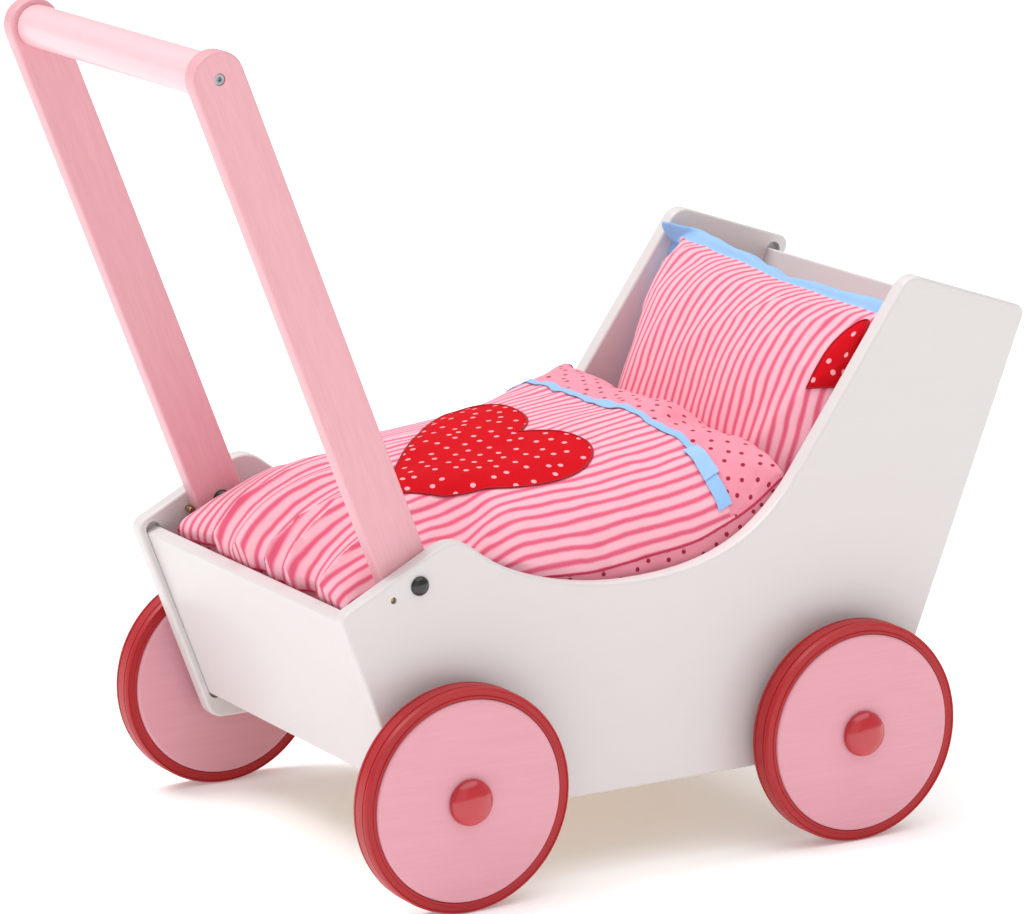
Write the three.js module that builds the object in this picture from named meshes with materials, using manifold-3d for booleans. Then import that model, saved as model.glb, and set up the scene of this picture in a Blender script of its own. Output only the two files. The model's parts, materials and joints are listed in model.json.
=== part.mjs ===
// A wooden doll pram: a tub of two shaped side panels on four disc wheels, a folding push handle and bedding.
// Millimetres. +X runs from the handle (foot) end to the head end, +Y to the pusher's left, +Z up.
// The ground is z = 0, and x = 0 is the middle of the pram's overall length.
import * as THREE from "three";
import { mergeVertices } from "three/addons/utils/BufferGeometryUtils.js";
import Module from "manifold-3d";

const wasm = await Module();
wasm.setup();

// ---- Driving dimensions ----

const GAP = 0.3; // between pieces that touch

// Wheels and axles
const wheelRadius = 70;
const wheelBase = 280;
const tyreThickness = 7.5; // disc's rim to tread
const discThickness = 20;
const discChamfer = 1.2;
const tyreWidth = 17;
const tyreShoulder = 2.5;
const rimGrooveDepth = 3;
const rimGrooveWidth = 9;
const axleRadius = 3;
const axleClearance = 0.08;
const axleStandOut = 3; // past the disc's outer face
const axleInPanel = 19; // axle's height above the side panels' bottom edge
const floorOverAxle = 7; // clear height between the axles and the floor board
const spacerLength = 8.5; // panel to disc
const spacerRadius = 8;
const clipRadius = 6;
const clipThickness = 0.8;
const hubRadius = 14.5;
const hubHeight = 6.5;
const hubWall = 2.5;

// Tub. Its ends are placed from the axles, and its heights from the side panels' bottom edge.
const innerWidth = 262;
const panelThickness = 12;
const panelRounding = 2;
const panelBottom = wheelRadius - axleInPanel;
const footBottomX = -wheelBase / 2 - 20;
const headBottomX = wheelBase / 2 + 32;
const footTop = { x: footBottomX - 50, z: panelBottom + 135, round: 8 };
const humpPeak = { x: footBottomX + 28.5, z: panelBottom + 175, round: 20 }; // where its straight flanks meet
const humpFlankFall = 0.75; // fall per mm along the flank that goes down into the valley
const humpFlankLength = 19.5; // along X, from the peak to the valley curve
const valley = { x: -8, z: panelBottom + 131 };
const shoulder = { x: headBottomX - 60, z: panelBottom + 186.5 };
const headTop = { x: headBottomX + 20.5, z: panelBottom + 299.5, round: 12 };
const headBack = { x: headBottomX + 108.5, z: panelBottom + 269, round: 7 };
const footBottomRound = 12;
const headBottomRound = 8;
const valleyHandles = { foot: 0.6, head: 0.72 }; // how far each curve is pulled to its corner

// Boards between the side panels
const boardThickness = 9.5;
const boardRounding = 1.5;
const grooveDepth = 5;
const footBoard = { inset: 4.6, start: 16.4, end: 136 }; // from the panel's edge, and along it from its foot
const headBoard = { inset: 5.6, start: 16.4, end: 279 };
const floorThickness = 8;

// Handle
const handlePivot = { x: footBottomX + 3.5, z: panelBottom + 148 };
const handleLength = 334.5; // pivot to bar
const handleLean = 20.8; // degrees back from upright
const armThickness = 13;
const armWidth = 33.2;
const armRounding = 1.5;
const barRadius = 13;
const boltRadius = 3;
const boltClearance = 0.1;
const capRadius = 6;
const capHeight = 3.5;
const stopPinRadius = 2;
const stopPinRecess = 2; // below the panel's outer face
const stopPinStandOut = 7; // past the panel's inner face
const screwRadius = 2;
const screwHeadRadius = 3.5;
const screwHeadHeight = 4;
const screwSunk = 0.6; // head below the arm's outer face
const screwLength = 40;
const socketRadius = 1.9;
const socketDepth = 2.2;

// Bedding
const softGap = 2; // between the bedding and the wood
const mattressHeight = 40;
const mattressRounding = 7;
const duvetCrown = valley.z + 64; // height of its top above the ground
const duvetEdge = valley.z + 14; // height of its top along the side panels
const duvetFootEdge = valley.z + 2;
const duvetWidening = 79; // along X, from the pivots' caps to where the duvet is full width
const pillow = { halfHeight: 107, halfThickness: 42, lean: 18.5, hem: 2, footRoom: 13.2, backRoom: 24.9 };

// ---- Finishes ----

const finish = {
  whitePaint: { color: 0xeee8e4, roughness: 0.45 },
  pinkStain: { color: 0xf0b6c0, roughness: 0.5 },
  wheelPink: { color: 0xe9a9b3, roughness: 0.55 },
  redPaint: { color: 0xc53a46, roughness: 0.35 },
  redRubber: { color: 0xc3202c, roughness: 0.5 },
  blackPlastic: { color: 0x2c2a29, roughness: 0.3 },
  steel: { color: 0xb9bcc0, roughness: 0.35, metalness: 1 },
  brass: { color: 0xbaa07a, roughness: 0.4, metalness: 1 },
  plywood: { color: 0xe2c79c, roughness: 0.6 },
  wool: { color: 0xf4ece4, roughness: 0.9 },
  stripedCotton: { color: 0xef8fa8, roughness: 0.9 },
};

// ---- Shape helpers ----

const degrees = Math.PI / 180;
const pram = new THREE.Group();

function addMesh(name, geometry, look, parent = pram) {
  const mesh = new THREE.Mesh(geometry, new THREE.MeshStandardMaterial(finish[look]));
  mesh.name = name;
  parent.add(mesh);
  return mesh;
}

/** A closed three.js geometry as a manifold-3d solid. */
function solidOf(geometry) {
  const bare = new THREE.BufferGeometry();
  bare.setAttribute("position", geometry.getAttribute("position"));
  bare.setIndex(geometry.index);
  const merged = mergeVertices(bare, 1e-4);
  return new wasm.Manifold(
    new wasm.Mesh({
      numProp: 3,
      vertProperties: merged.attributes.position.array,
      triVerts: new Uint32Array(merged.index.array),
    }),
  );
}

function geometryOf(solid) {
  const mesh = solid.getMesh();
  const geometry = new THREE.BufferGeometry();
  geometry.setAttribute("position", new THREE.BufferAttribute(mesh.vertProperties, 3));
  geometry.setIndex(new THREE.BufferAttribute(mesh.triVerts, 1));
  geometry.computeVertexNormals();
  return geometry;
}

function cut(body, tools) {
  const rest = tools.reduce((left, tool) => left.subtract(solidOf(tool)), solidOf(body));
  return geometryOf(rest);
}

/** A solid of revolution about Y, from (radius, y) pairs that go from its low end to its high end. */
function turned(profile, segments = 32) {
  const points = profile.map(([radius, y]) => new THREE.Vector2(radius, y));
  return new THREE.LatheGeometry(points, segments);
}

/** A ring about Y: its section goes round once and closes on itself. */
function ring(section, segments = 32) {
  return turned([...section, section[0]], segments);
}

function rod(radius, length, segments = 24) {
  return new THREE.CylinderGeometry(radius, radius, length, segments);
}

/** A dome about Y with its flat base on y = 0. */
function dome(radius, height, segments = 16) {
  const rings = 4;
  const profile = [[0, 0]];
  for (let i = 0; i < rings; i++) {
    const turn = ((i / rings) * Math.PI) / 2;
    profile.push([radius * Math.cos(turn), height * Math.sin(turn)]);
  }
  profile.push([0, height]);
  return turned(profile, segments);
}

/** The same outline as straight steps: a fixed turn on each arc, and a fixed number on each free curve. */
function stepped(shape, turnStep = 10, curveSteps = 22) {
  const points = shape.curves.flatMap((curve) => {
    let steps = curve.isLineCurve ? 1 : curveSteps;
    if (curve.isEllipseCurve) steps = Math.ceil(curve.getLength() / curve.xRadius / (turnStep * degrees));
    return curve.getPoints(steps).slice(0, -1);
  });
  return new THREE.Shape(points);
}

/** A plate whose outline is drawn in X and Z, centred on y = 0, with its long edges rounded. */
function plate(shape, thickness, rounding, turnStep = 10) {
  const geometry = new THREE.ExtrudeGeometry(stepped(shape, turnStep), {
    depth: thickness - 2 * rounding,
    bevelEnabled: rounding > 0,
    bevelThickness: rounding,
    bevelSize: rounding,
    bevelOffset: -rounding,
    bevelSegments: 2,
  });
  geometry.translate(0, 0, -(thickness - 2 * rounding) / 2);
  geometry.rotateX(90 * degrees);
  return geometry;
}

/** A round-ended outline from one point to another. */
function slotShape(from, to, halfWidth) {
  const turn = Math.atan2(to.z - from.z, to.x - from.x);
  const shape = new THREE.Shape();
  shape.absarc(from.x, from.z, halfWidth, turn + 90 * degrees, turn + 270 * degrees, false);
  shape.absarc(to.x, to.z, halfWidth, turn - 90 * degrees, turn + 90 * degrees, false);
  shape.closePath();
  return shape;
}

/** The straight edge of a side panel that an end board follows, and places measured from it. */
class PanelEdge {
  constructor(low, high, inwards) {
    this.low = low;
    this.length = Math.hypot(high.x - low.x, high.z - low.z);
    this.along = { x: (high.x - low.x) / this.length, z: (high.z - low.z) / this.length };
    this.inwards = { x: inwards * this.along.z, z: -inwards * this.along.x };
  }

  at(distance, inset) {
    return {
      x: this.low.x + distance * this.along.x + inset * this.inwards.x,
      z: this.low.z + distance * this.along.z + inset * this.inwards.z,
    };
  }

  /** X of the plane at this inset, at a height. */
  xAt(height, inset) {
    const foot = this.at(0, inset);
    return foot.x + ((height - foot.z) * this.along.x) / this.along.z;
  }
}

const discRadius = wheelRadius - tyreThickness;
const footEdge = new PanelEdge({ x: footBottomX, z: panelBottom }, footTop, 1);
const headEdge = new PanelEdge({ x: headBottomX, z: panelBottom }, headBack, -1);
const sides = [
  { side: "left", sign: 1 },
  { side: "right", sign: -1 },
];
const panelMiddleY = innerWidth / 2 + panelThickness / 2;
const panelOuterY = innerWidth / 2 + panelThickness;

// ---- Side panels ----

/** Goes round a corner with a fillet: a line to where the arc starts, then the arc. */
function fillet(shape, before, corner, after) {
  const a = new THREE.Vector2(before.x - corner.x, before.z - corner.z).normalize();
  const b = new THREE.Vector2(after.x - corner.x, after.z - corner.z).normalize();
  const half = Math.acos(a.dot(b)) / 2;
  const reach = corner.round / Math.tan(half);
  const middle = a.clone().add(b).normalize().multiplyScalar(corner.round / Math.sin(half));
  const centre = { x: corner.x + middle.x, z: corner.z + middle.y };
  const start = { x: corner.x + a.x * reach, z: corner.z + a.y * reach };
  const end = { x: corner.x + b.x * reach, z: corner.z + b.y * reach };
  const from = Math.atan2(start.z - centre.z, start.x - centre.x);
  const to = Math.atan2(end.z - centre.z, end.x - centre.x);
  shape.lineTo(start.x, start.z);
  shape.absarc(centre.x, centre.z, corner.round, from, to, a.cross(b) > 0);
}

/** The outline goes clockwise from the middle of the bottom edge: foot end, hump, valley, head end. */
function panelOutline() {
  const footCorner = { x: footBottomX, z: panelBottom, round: footBottomRound };
  const headCorner = { x: headBottomX, z: panelBottom, round: headBottomRound };
  const flankEnd = {
    x: humpPeak.x + humpFlankLength,
    z: humpPeak.z - humpFlankLength * humpFlankFall,
  };
  const slope = (headTop.z - shoulder.z) / (headTop.x - shoulder.x);
  const footCurve = { x: flankEnd.x + (flankEnd.z - valley.z) / humpFlankFall, z: valley.z };
  const headCurve = { x: shoulder.x - (shoulder.z - valley.z) / slope, z: valley.z };
  const pull = (from, to, share) => ({
    x: from.x + share * (to.x - from.x),
    z: from.z + share * (to.z - from.z),
  });
  const shape = new THREE.Shape();
  shape.moveTo(0, panelBottom);
  fillet(shape, { x: 0, z: panelBottom }, footCorner, footTop);
  fillet(shape, footCorner, footTop, humpPeak);
  fillet(shape, footTop, humpPeak, flankEnd);
  shape.lineTo(flankEnd.x, flankEnd.z);
  const curves = [
    [flankEnd, footCurve, valley, valleyHandles.foot],
    [valley, headCurve, shoulder, valleyHandles.head],
  ];
  for (const [from, corner, to, share] of curves) {
    const first = pull(from, corner, share);
    const second = pull(to, corner, share);
    shape.bezierCurveTo(first.x, first.z, second.x, second.z, to.x, to.z);
  }
  fillet(shape, shoulder, headTop, headBack);
  fillet(shape, headTop, headBack, headCorner);
  fillet(shape, headBack, headCorner, { x: 0, z: panelBottom });
  shape.closePath();
  return shape;
}

/** A round-ended groove that a board sits in, open on the panel's inner face (local y from -thickness/2). */
function grooveCutter(from, to, boardWidth) {
  const overrun = 1;
  const geometry = plate(slotShape(from, to, boardWidth / 2 + GAP), grooveDepth + overrun, 0);
  return geometry.translate(0, -panelThickness / 2 + (grooveDepth - overrun) / 2, 0);
}

function holeCutter(radius, place, segments = 24) {
  const overrun = 2;
  return rod(radius, panelThickness + overrun, segments).translate(place.x, 0, place.z);
}

const stopDistance = armWidth / 2 + stopPinRadius + GAP;
const stopPlace = {
  x: handlePivot.x - stopDistance * Math.cos(handleLean * degrees),
  z: handlePivot.z - stopDistance * Math.sin(handleLean * degrees),
};
const axles = [
  { end: "foot", x: -wheelBase / 2, z: wheelRadius },
  { end: "head", x: wheelBase / 2, z: wheelRadius },
];
const footInnerInset = footBoard.inset + boardThickness;
const headInnerInset = headBoard.inset + boardThickness;
const floorBottom = wheelRadius + axleRadius + floorOverAxle;
const floorMiddle = floorBottom + floorThickness / 2;
const floorStart = footEdge.xAt(floorBottom, footInnerInset) + GAP;
const floorEnd = headEdge.xAt(floorBottom, headInnerInset) - GAP;

function sidePanel() {
  const boardMiddle = (edge, board, distance) => edge.at(distance, board.inset + boardThickness / 2);
  const tools = [
    grooveCutter(
      boardMiddle(footEdge, footBoard, footBoard.start),
      boardMiddle(footEdge, footBoard, footBoard.end),
      boardThickness,
    ),
    grooveCutter(
      boardMiddle(headEdge, headBoard, headBoard.start),
      boardMiddle(headEdge, headBoard, headBoard.end),
      boardThickness,
    ),
    grooveCutter({ x: floorStart, z: floorMiddle }, { x: floorEnd, z: floorMiddle }, floorThickness),
    holeCutter(boltRadius + boltClearance, handlePivot),
    holeCutter(stopPinRadius + boltClearance, stopPlace, 16),
    ...axles.map((axle) => holeCutter(axleRadius + axleClearance, axle)),
  ];
  return cut(plate(panelOutline(), panelThickness, panelRounding), tools);
}

for (const { side, sign } of sides) {
  const panel = sidePanel();
  if (sign < 0) mirrorAcrossWidth(panel);
  addMesh(`side_panel_${side}`, panel, "whitePaint").position.y = sign * panelMiddleY;
}

/** Turns a piece of the left side into its right-hand twin, in place. */
function mirrorAcrossWidth(geometry) {
  geometry.scale(1, -1, 1);
  const order = geometry.index.array;
  for (let i = 0; i < order.length; i += 3) [order[i], order[i + 1]] = [order[i + 1], order[i]];
  geometry.computeVertexNormals();
}

// ---- Boards ----

const boardLength = innerWidth + 2 * (grooveDepth - GAP);

/** A board that stands between the panels: its section lies in X and Z, and its length runs across. */
function crossBoard(name, middle, turn, height, thickness, look) {
  const shape = new THREE.Shape();
  const across = thickness / 2 - boardRounding;
  const up = height / 2 - boardRounding;
  const corners = [[across, -up], [across, up], [-across, up], [-across, -up]];
  corners.forEach(([x, z], i) => {
    shape.absarc(x, z, boardRounding, (i - 1) * 90 * degrees, i * 90 * degrees, false);
  });
  shape.closePath();
  const mesh = addMesh(name, plate(shape, boardLength, 0, 30), look);
  mesh.position.set(middle.x, 0, middle.z);
  mesh.rotation.y = turn;
}

function endBoard(name, edge, board) {
  const middle = edge.at((board.start + board.end) / 2, board.inset + boardThickness / 2);
  const turn = Math.atan2(edge.along.x, edge.along.z);
  crossBoard(name, middle, turn, board.end - board.start, boardThickness, "whitePaint");
}

endBoard("foot_board", footEdge, footBoard);
endBoard("head_board", headEdge, headBoard);
crossBoard(
  "floor_board",
  { x: (floorStart + floorEnd) / 2, z: floorMiddle },
  90 * degrees,
  floorEnd - floorStart,
  floorThickness,
  "plywood",
);

// ---- Wheels and axles ----

const discOuterY = panelOuterY + spacerLength + discThickness;

function wheelDisc() {
  const half = discThickness / 2;
  const grooveHalf = rimGrooveWidth / 2;
  const bore = axleRadius + axleClearance;
  return ring([
    [bore, -half],
    [discRadius - discChamfer, -half],
    [discRadius, -half + discChamfer],
    [discRadius, -grooveHalf],
    [discRadius - rimGrooveDepth, -grooveHalf],
    [discRadius - rimGrooveDepth, grooveHalf],
    [discRadius, grooveHalf],
    [discRadius, half - discChamfer],
    [discRadius - discChamfer, half],
    [bore, half],
  ]);
}

/** A rubber ring with rounded shoulders, whose inner rib sits in the rim's groove. */
function wheelTyre() {
  const half = tyreWidth / 2;
  const ribHalf = rimGrooveWidth / 2 - GAP;
  const seat = discRadius + GAP;
  const ribRadius = discRadius - rimGrooveDepth + GAP;
  const shoulder = (turn) => [
    wheelRadius - tyreShoulder + tyreShoulder * Math.sin(turn),
    half - tyreShoulder + tyreShoulder * Math.cos(turn),
  ];
  const arc = [0, 45, 90].map((turn) => shoulder(turn * degrees));
  return ring([
    [seat, -ribHalf],
    [seat, -half],
    ...arc.map(([radius, y]) => [radius, -y]),
    ...arc.toReversed(),
    [seat, half],
    [seat, ribHalf],
    [ribRadius, ribHalf],
    [ribRadius, -ribHalf],
  ]);
}

/** A domed cap, hollow below for the axle's end and its clip, with its open base on y = 0. */
function hubCap() {
  const rings = 5;
  const outside = [];
  for (let i = 0; i <= rings; i++) {
    const turn = ((i / rings) * Math.PI) / 2;
    const radius = i === rings ? 0 : hubRadius * Math.cos(turn) ** 0.8;
    outside.push([radius, hubHeight * Math.sin(turn)]);
  }
  const roof = hubHeight - hubWall;
  return turned([[0, roof], [clipRadius + 1, roof], [clipRadius + 1, 0], ...outside], 24);
}

for (const { end, x, z } of axles) {
  const axle = addMesh(`axle_${end}`, rod(axleRadius, 2 * (discOuterY + axleStandOut)), "steel");
  axle.position.set(x, 0, z);
  for (const { side, sign } of sides) {
    const corner = new THREE.Group();
    corner.position.set(x, 0, z);
    corner.rotation.z = sign > 0 ? 0 : 180 * degrees;
    pram.add(corner);
    const place = (kind, geometry, look, y) => {
      addMesh(`${kind}_${end}_${side}`, geometry, look, corner).position.y = y;
    };
    const bore = axleRadius + axleClearance;
    const tube = (outer, length) =>
      ring([
        [bore, -length / 2],
        [outer, -length / 2],
        [outer, length / 2],
        [bore, length / 2],
      ], 20);
    const spacer = tube(spacerRadius, spacerLength - 2 * GAP);
    place("axle_spacer", spacer, "blackPlastic", panelOuterY + spacerLength / 2);
    place("wheel_disc", wheelDisc(), "wheelPink", discOuterY - discThickness / 2);
    place("tyre", wheelTyre(), "redRubber", discOuterY - discThickness / 2);
    place("axle_clip", tube(clipRadius, clipThickness), "steel", discOuterY + GAP + clipThickness / 2);
    place("hub_cap", hubCap(), "redPaint", discOuterY + GAP);
  }
}

// ---- Handle ----

const armOuterY = innerWidth / 2 - GAP;
const armMiddleY = armOuterY - armThickness / 2;
const armInnerY = armOuterY - armThickness;
const handle = new THREE.Group();
handle.position.set(handlePivot.x, 0, handlePivot.z);
handle.rotation.y = -handleLean * degrees;
pram.add(handle);

/** One arm, upright from its pivot at the origin, with its outer face towards +Y. */
function handleArm() {
  const outline = slotShape({ x: 0, z: 0 }, { x: 0, z: handleLength }, armWidth / 2);
  const overrun = 2;
  const through = rod(boltRadius + boltClearance, armThickness + overrun);
  const screwHole = rod(screwRadius + boltClearance, armThickness + overrun, 16);
  screwHole.translate(0, 0, handleLength);
  const sinkDepth = screwSunk + screwHeadHeight + boltClearance;
  const sink = rod(screwHeadRadius + boltClearance, sinkDepth + overrun);
  sink.translate(0, armThickness / 2 - sinkDepth / 2 + overrun / 2, handleLength);
  return cut(plate(outline, armThickness, armRounding), [through, screwHole, sink]);
}

function handleBar() {
  const length = 2 * (armInnerY - GAP);
  const holeDepth = screwLength;
  const bar = rod(barRadius, length, 32);
  const holes = sides.map(({ sign }) =>
    rod(screwRadius + boltClearance, holeDepth, 16).translate(0, sign * (length / 2 - holeDepth / 2 + 1), 0),
  );
  return cut(bar, holes);
}

/** A socket-head screw: its head's top is on y = 0 and it runs down to -Y. */
function barScrew() {
  const shankLow = -screwLength;
  const headLow = -screwHeadHeight;
  return turned(
    [
      [0, shankLow],
      [screwRadius, shankLow],
      [screwRadius, headLow],
      [screwHeadRadius, headLow],
      [screwHeadRadius, 0],
      [socketRadius, 0],
      [socketRadius, -socketDepth],
      [0, -socketDepth],
    ],
    16,
  );
}

addMesh("handle_bar", handleBar(), "pinkStain", handle).position.z = handleLength;

for (const { side, sign } of sides) {
  const turned180 = sign > 0 ? 0 : 180 * degrees;
  const arm = addMesh(`handle_arm_${side}`, handleArm(), "pinkStain", handle);
  arm.position.y = sign * armMiddleY;
  arm.rotation.z = turned180;

  const screw = addMesh(`bar_screw_${side}`, barScrew(), "steel", handle);
  screw.position.set(0, sign * (armOuterY - screwSunk), handleLength);
  screw.rotation.z = turned180;

  const innerCap = addMesh(`pivot_inner_cap_${side}`, dome(capRadius, capHeight), "blackPlastic", handle);
  innerCap.position.y = sign * (armInnerY - GAP);
  innerCap.rotation.x = sign > 0 ? 180 * degrees : 0;

  const outerCap = addMesh(`pivot_outer_cap_${side}`, dome(capRadius, capHeight), "blackPlastic");
  outerCap.position.set(handlePivot.x, sign * (panelOuterY + GAP), handlePivot.z);
  outerCap.rotation.x = sign > 0 ? 0 : 180 * degrees;

  const boltLength = panelOuterY - armInnerY;
  const bolt = addMesh(`pivot_bolt_${side}`, rod(boltRadius, boltLength), "steel");
  bolt.position.set(handlePivot.x, sign * (armInnerY + boltLength / 2), handlePivot.z);

  const pinLow = innerWidth / 2 - stopPinStandOut;
  const pinLength = panelOuterY - stopPinRecess - pinLow;
  const pin = addMesh(`stop_pin_${side}`, rod(stopPinRadius, pinLength, 16), "brass");
  pin.position.set(stopPlace.x, sign * (pinLow + pinLength / 2), stopPlace.z);
}

// ---- Bedding: plain closed solids of the right size and place ----

const mattressBottom = floorBottom + floorThickness + GAP;
const mattressTop = mattressBottom + mattressHeight;
const softHalfWidth = innerWidth / 2 - softGap;

function mattressGeometry() {
  const low = footEdge.xAt(mattressBottom, footInnerInset) + softGap;
  const high = headEdge.xAt(mattressBottom, headInnerInset) - softGap;
  const shape = new THREE.Shape();
  shape.moveTo(low, mattressBottom);
  shape.lineTo(low, mattressTop);
  shape.lineTo(high, mattressTop);
  shape.lineTo(high, mattressBottom);
  return plate(shape, 2 * softHalfWidth, mattressRounding);
}

/** A block whose corners (u, v, w from -1 to 1) are moved to where a function puts them. */
function softBlock(segments, place) {
  const geometry = new THREE.BoxGeometry(2, 2, 2, ...segments);
  const position = geometry.getAttribute("position");
  for (let i = 0; i < position.count; i++) {
    position.setXYZ(i, ...place(position.getX(i), position.getY(i), position.getZ(i)));
  }
  return geometryOf(solidOf(geometry));
}

const pillowLean = pillow.lean * degrees;
const pillowZ = mattressTop + pillow.footRoom + pillow.halfHeight * Math.cos(pillowLean);
const pillowBack = pillow.halfThickness / Math.cos(pillowLean) + pillow.backRoom;
const pillowX = headEdge.xAt(pillowZ, headInnerInset) - pillowBack;

/** X of the leaning plane that the duvet's head end follows, just in front of the pillow. */
function pillowFrontX(height) {
  const middle = pillowX + (height - pillowZ) * Math.tan(pillowLean);
  return middle - (pillow.halfThickness + softGap) / Math.cos(pillowLean);
}

/** Half the duvet's width at an x: clear of the arms' caps, then evenly wider up to the side panels. */
function duvetHalfWidth(x) {
  const atCaps = armInnerY - GAP - capHeight - softGap;
  const share = (x - handlePivot.x - capRadius) / duvetWidening;
  return Math.min(softHalfWidth, atCaps + share * (softHalfWidth - atCaps));
}

/** Crowned on top, flat below, following the slanted foot board, and narrower between the arms. */
function duvetGeometry() {
  const bottom = mattressTop + GAP;
  return softBlock([14, 10, 3], (u, v, w) => {
    const share = (u + 1) / 2;
    const edge = duvetFootEdge + (duvetEdge - duvetFootEdge) * Math.min(1, 2 * share);
    const crown = (1 - u ** 4) * (1 - v ** 4);
    const top = edge + (duvetCrown - edge) * crown;
    const z = bottom + ((w + 1) / 2) * (top - bottom);
    const footX = footEdge.xAt(z, footInnerInset) + softGap;
    const x = footX + share * (pillowFrontX(z) - footX);
    return [x, v * duvetHalfWidth(x), z];
  });
}

/** A crowned cushion that leans back to the head board. */
function pillowGeometry() {
  return softBlock([1, 10, 10], (u, v, w) => {
    const crown = (1 - v ** 4) * (1 - w ** 4);
    const thick = u * (pillow.hem + (pillow.halfThickness - pillow.hem) * crown);
    const up = w * pillow.halfHeight;
    return [
      pillowX + thick * Math.cos(pillowLean) + up * Math.sin(pillowLean),
      v * softHalfWidth,
      pillowZ - thick * Math.sin(pillowLean) + up * Math.cos(pillowLean),
    ];
  });
}

addMesh("mattress", mattressGeometry(), "wool");
addMesh("duvet", duvetGeometry(), "stripedCotton");
addMesh("pillow", pillowGeometry(), "stripedCotton");

// The origin is on the ground below the middle of the overall box.
const overall = new THREE.Box3().setFromObject(pram, true);
pram.position.x = -(overall.min.x + overall.max.x) / 2;

export default pram;
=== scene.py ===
"""Looks of a wooden doll pram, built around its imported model.

The tub's boards and the handle's arms keep the frame's own shapes, merged and smoothly shaded. Wheels, caps, bar
and screws are turned afresh, and the bedding is cut, stuffed by cloth simulation, wrinkled and trimmed here.
Everything is in metres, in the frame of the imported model.
"""

import json
import logging
import math
from dataclasses import dataclass, field
from enum import Enum
from typing import Any, Callable, Sequence

import bpy
import numpy as np
from mathutils import Matrix, Vector, noise
from mathutils.bvhtree import BVHTree

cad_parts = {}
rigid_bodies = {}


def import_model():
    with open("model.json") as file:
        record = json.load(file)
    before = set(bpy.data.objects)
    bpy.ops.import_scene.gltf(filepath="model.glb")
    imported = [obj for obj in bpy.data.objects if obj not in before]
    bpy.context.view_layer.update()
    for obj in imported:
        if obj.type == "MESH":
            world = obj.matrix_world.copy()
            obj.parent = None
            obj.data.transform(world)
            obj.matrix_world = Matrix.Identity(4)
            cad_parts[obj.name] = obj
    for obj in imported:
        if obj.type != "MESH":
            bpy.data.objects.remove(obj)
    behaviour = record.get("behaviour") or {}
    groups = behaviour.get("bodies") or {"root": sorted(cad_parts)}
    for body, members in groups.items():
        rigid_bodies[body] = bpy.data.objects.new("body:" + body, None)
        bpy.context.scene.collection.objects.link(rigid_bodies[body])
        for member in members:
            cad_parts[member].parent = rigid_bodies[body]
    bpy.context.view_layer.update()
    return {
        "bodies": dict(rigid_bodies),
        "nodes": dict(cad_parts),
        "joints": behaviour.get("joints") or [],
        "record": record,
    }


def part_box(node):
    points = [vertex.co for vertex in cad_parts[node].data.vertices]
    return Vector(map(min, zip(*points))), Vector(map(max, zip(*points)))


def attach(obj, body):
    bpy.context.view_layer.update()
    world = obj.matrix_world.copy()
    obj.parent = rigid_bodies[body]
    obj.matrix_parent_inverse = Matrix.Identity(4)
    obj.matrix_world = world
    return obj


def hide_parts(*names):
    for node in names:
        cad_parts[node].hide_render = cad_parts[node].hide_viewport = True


log = logging.getLogger("doll_pram")

MM = 0.001
CLOTH_UV = "cloth"

Colour = tuple[float, float, float, float]
Profile = Sequence[tuple[float, float]]


class Side(Enum):
    """The pram's two sides, with the sign of Y on each."""

    LEFT = 1
    RIGHT = -1

    @property
    def label(self) -> str:
        """The side's name as nodes spell it."""
        return self.name.lower()


class End(Enum):
    """The pram's two ends."""

    FOOT = "foot"
    HEAD = "head"


class Fibre(Enum):
    """Which way the grain of a board runs, as the shares by which its pattern is drawn out."""

    ALONG = (0.05, 1.0, 1.0)
    ACROSS = (1.0, 0.05, 1.0)
    UPRIGHT = (1.0, 1.0, 0.05)


def linear(red: int, green: int, blue: int) -> Colour:
    """Turns a screen colour of 0 to 255 into the shader's linear one.

    Args:
        red: Screen red.
        green: Screen green.
        blue: Screen blue.

    Returns:
        Linear red, green, blue and an alpha of 1.
    """
    shares = [value / 255 for value in (red, green, blue)]
    light = [s / 12.92 if s <= 0.04045 else ((s + 0.055) / 1.055) ** 2.4 for s in shares]
    return (light[0], light[1], light[2], 1.0)


# ---------------------------------------------------------------- bench tools


def pick(obj: bpy.types.Object) -> None:
    """Leaves one object selected and active."""
    bpy.ops.object.select_all(action="DESELECT")
    obj.select_set(True)
    bpy.context.view_layer.objects.active = obj


def finish_primitive(name: str) -> bpy.types.Object:
    """Names the primitive that was just added.

    Args:
        name: The piece's name.

    Returns:
        The new object.
    """
    obj = bpy.context.active_object
    obj.name = name
    obj.data.name = name
    return obj


def apply_modifier(obj: bpy.types.Object, kind: str, **settings: Any) -> None:
    """Adds a modifier and applies it at once.

    Args:
        obj: The piece.
        kind: The modifier's type, such as BEVEL.
        **settings: Values for the modifier's properties.
    """
    pick(obj)
    modifier = obj.modifiers.new(kind.title(), kind)
    for key, value in settings.items():
        setattr(modifier, key, value)
    bpy.ops.object.modifier_apply(modifier=modifier.name)


def smooth(obj: bpy.types.Object, degrees: float = 40.0) -> None:
    """Shades a piece smoothly, with edges sharper than an angle left crisp."""
    pick(obj)
    bpy.ops.object.shade_smooth_by_angle(angle=math.radians(degrees))


def coordinates(obj: bpy.types.Object) -> np.ndarray:
    """The piece's vertices as an array of rows."""
    flat = np.zeros(len(obj.data.vertices) * 3)
    obj.data.vertices.foreach_get("co", flat)
    return flat.reshape(-1, 3)


def set_coordinates(obj: bpy.types.Object, rows: np.ndarray) -> None:
    """Moves the piece's vertices to new places."""
    obj.data.vertices.foreach_set("co", rows.astype(np.float32).ravel())
    obj.data.update()


def vertex_normals(obj: bpy.types.Object) -> np.ndarray:
    """The piece's vertex normals as an array of rows."""
    return np.array([v.normal for v in obj.data.vertices], float).reshape(-1, 3)


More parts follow.
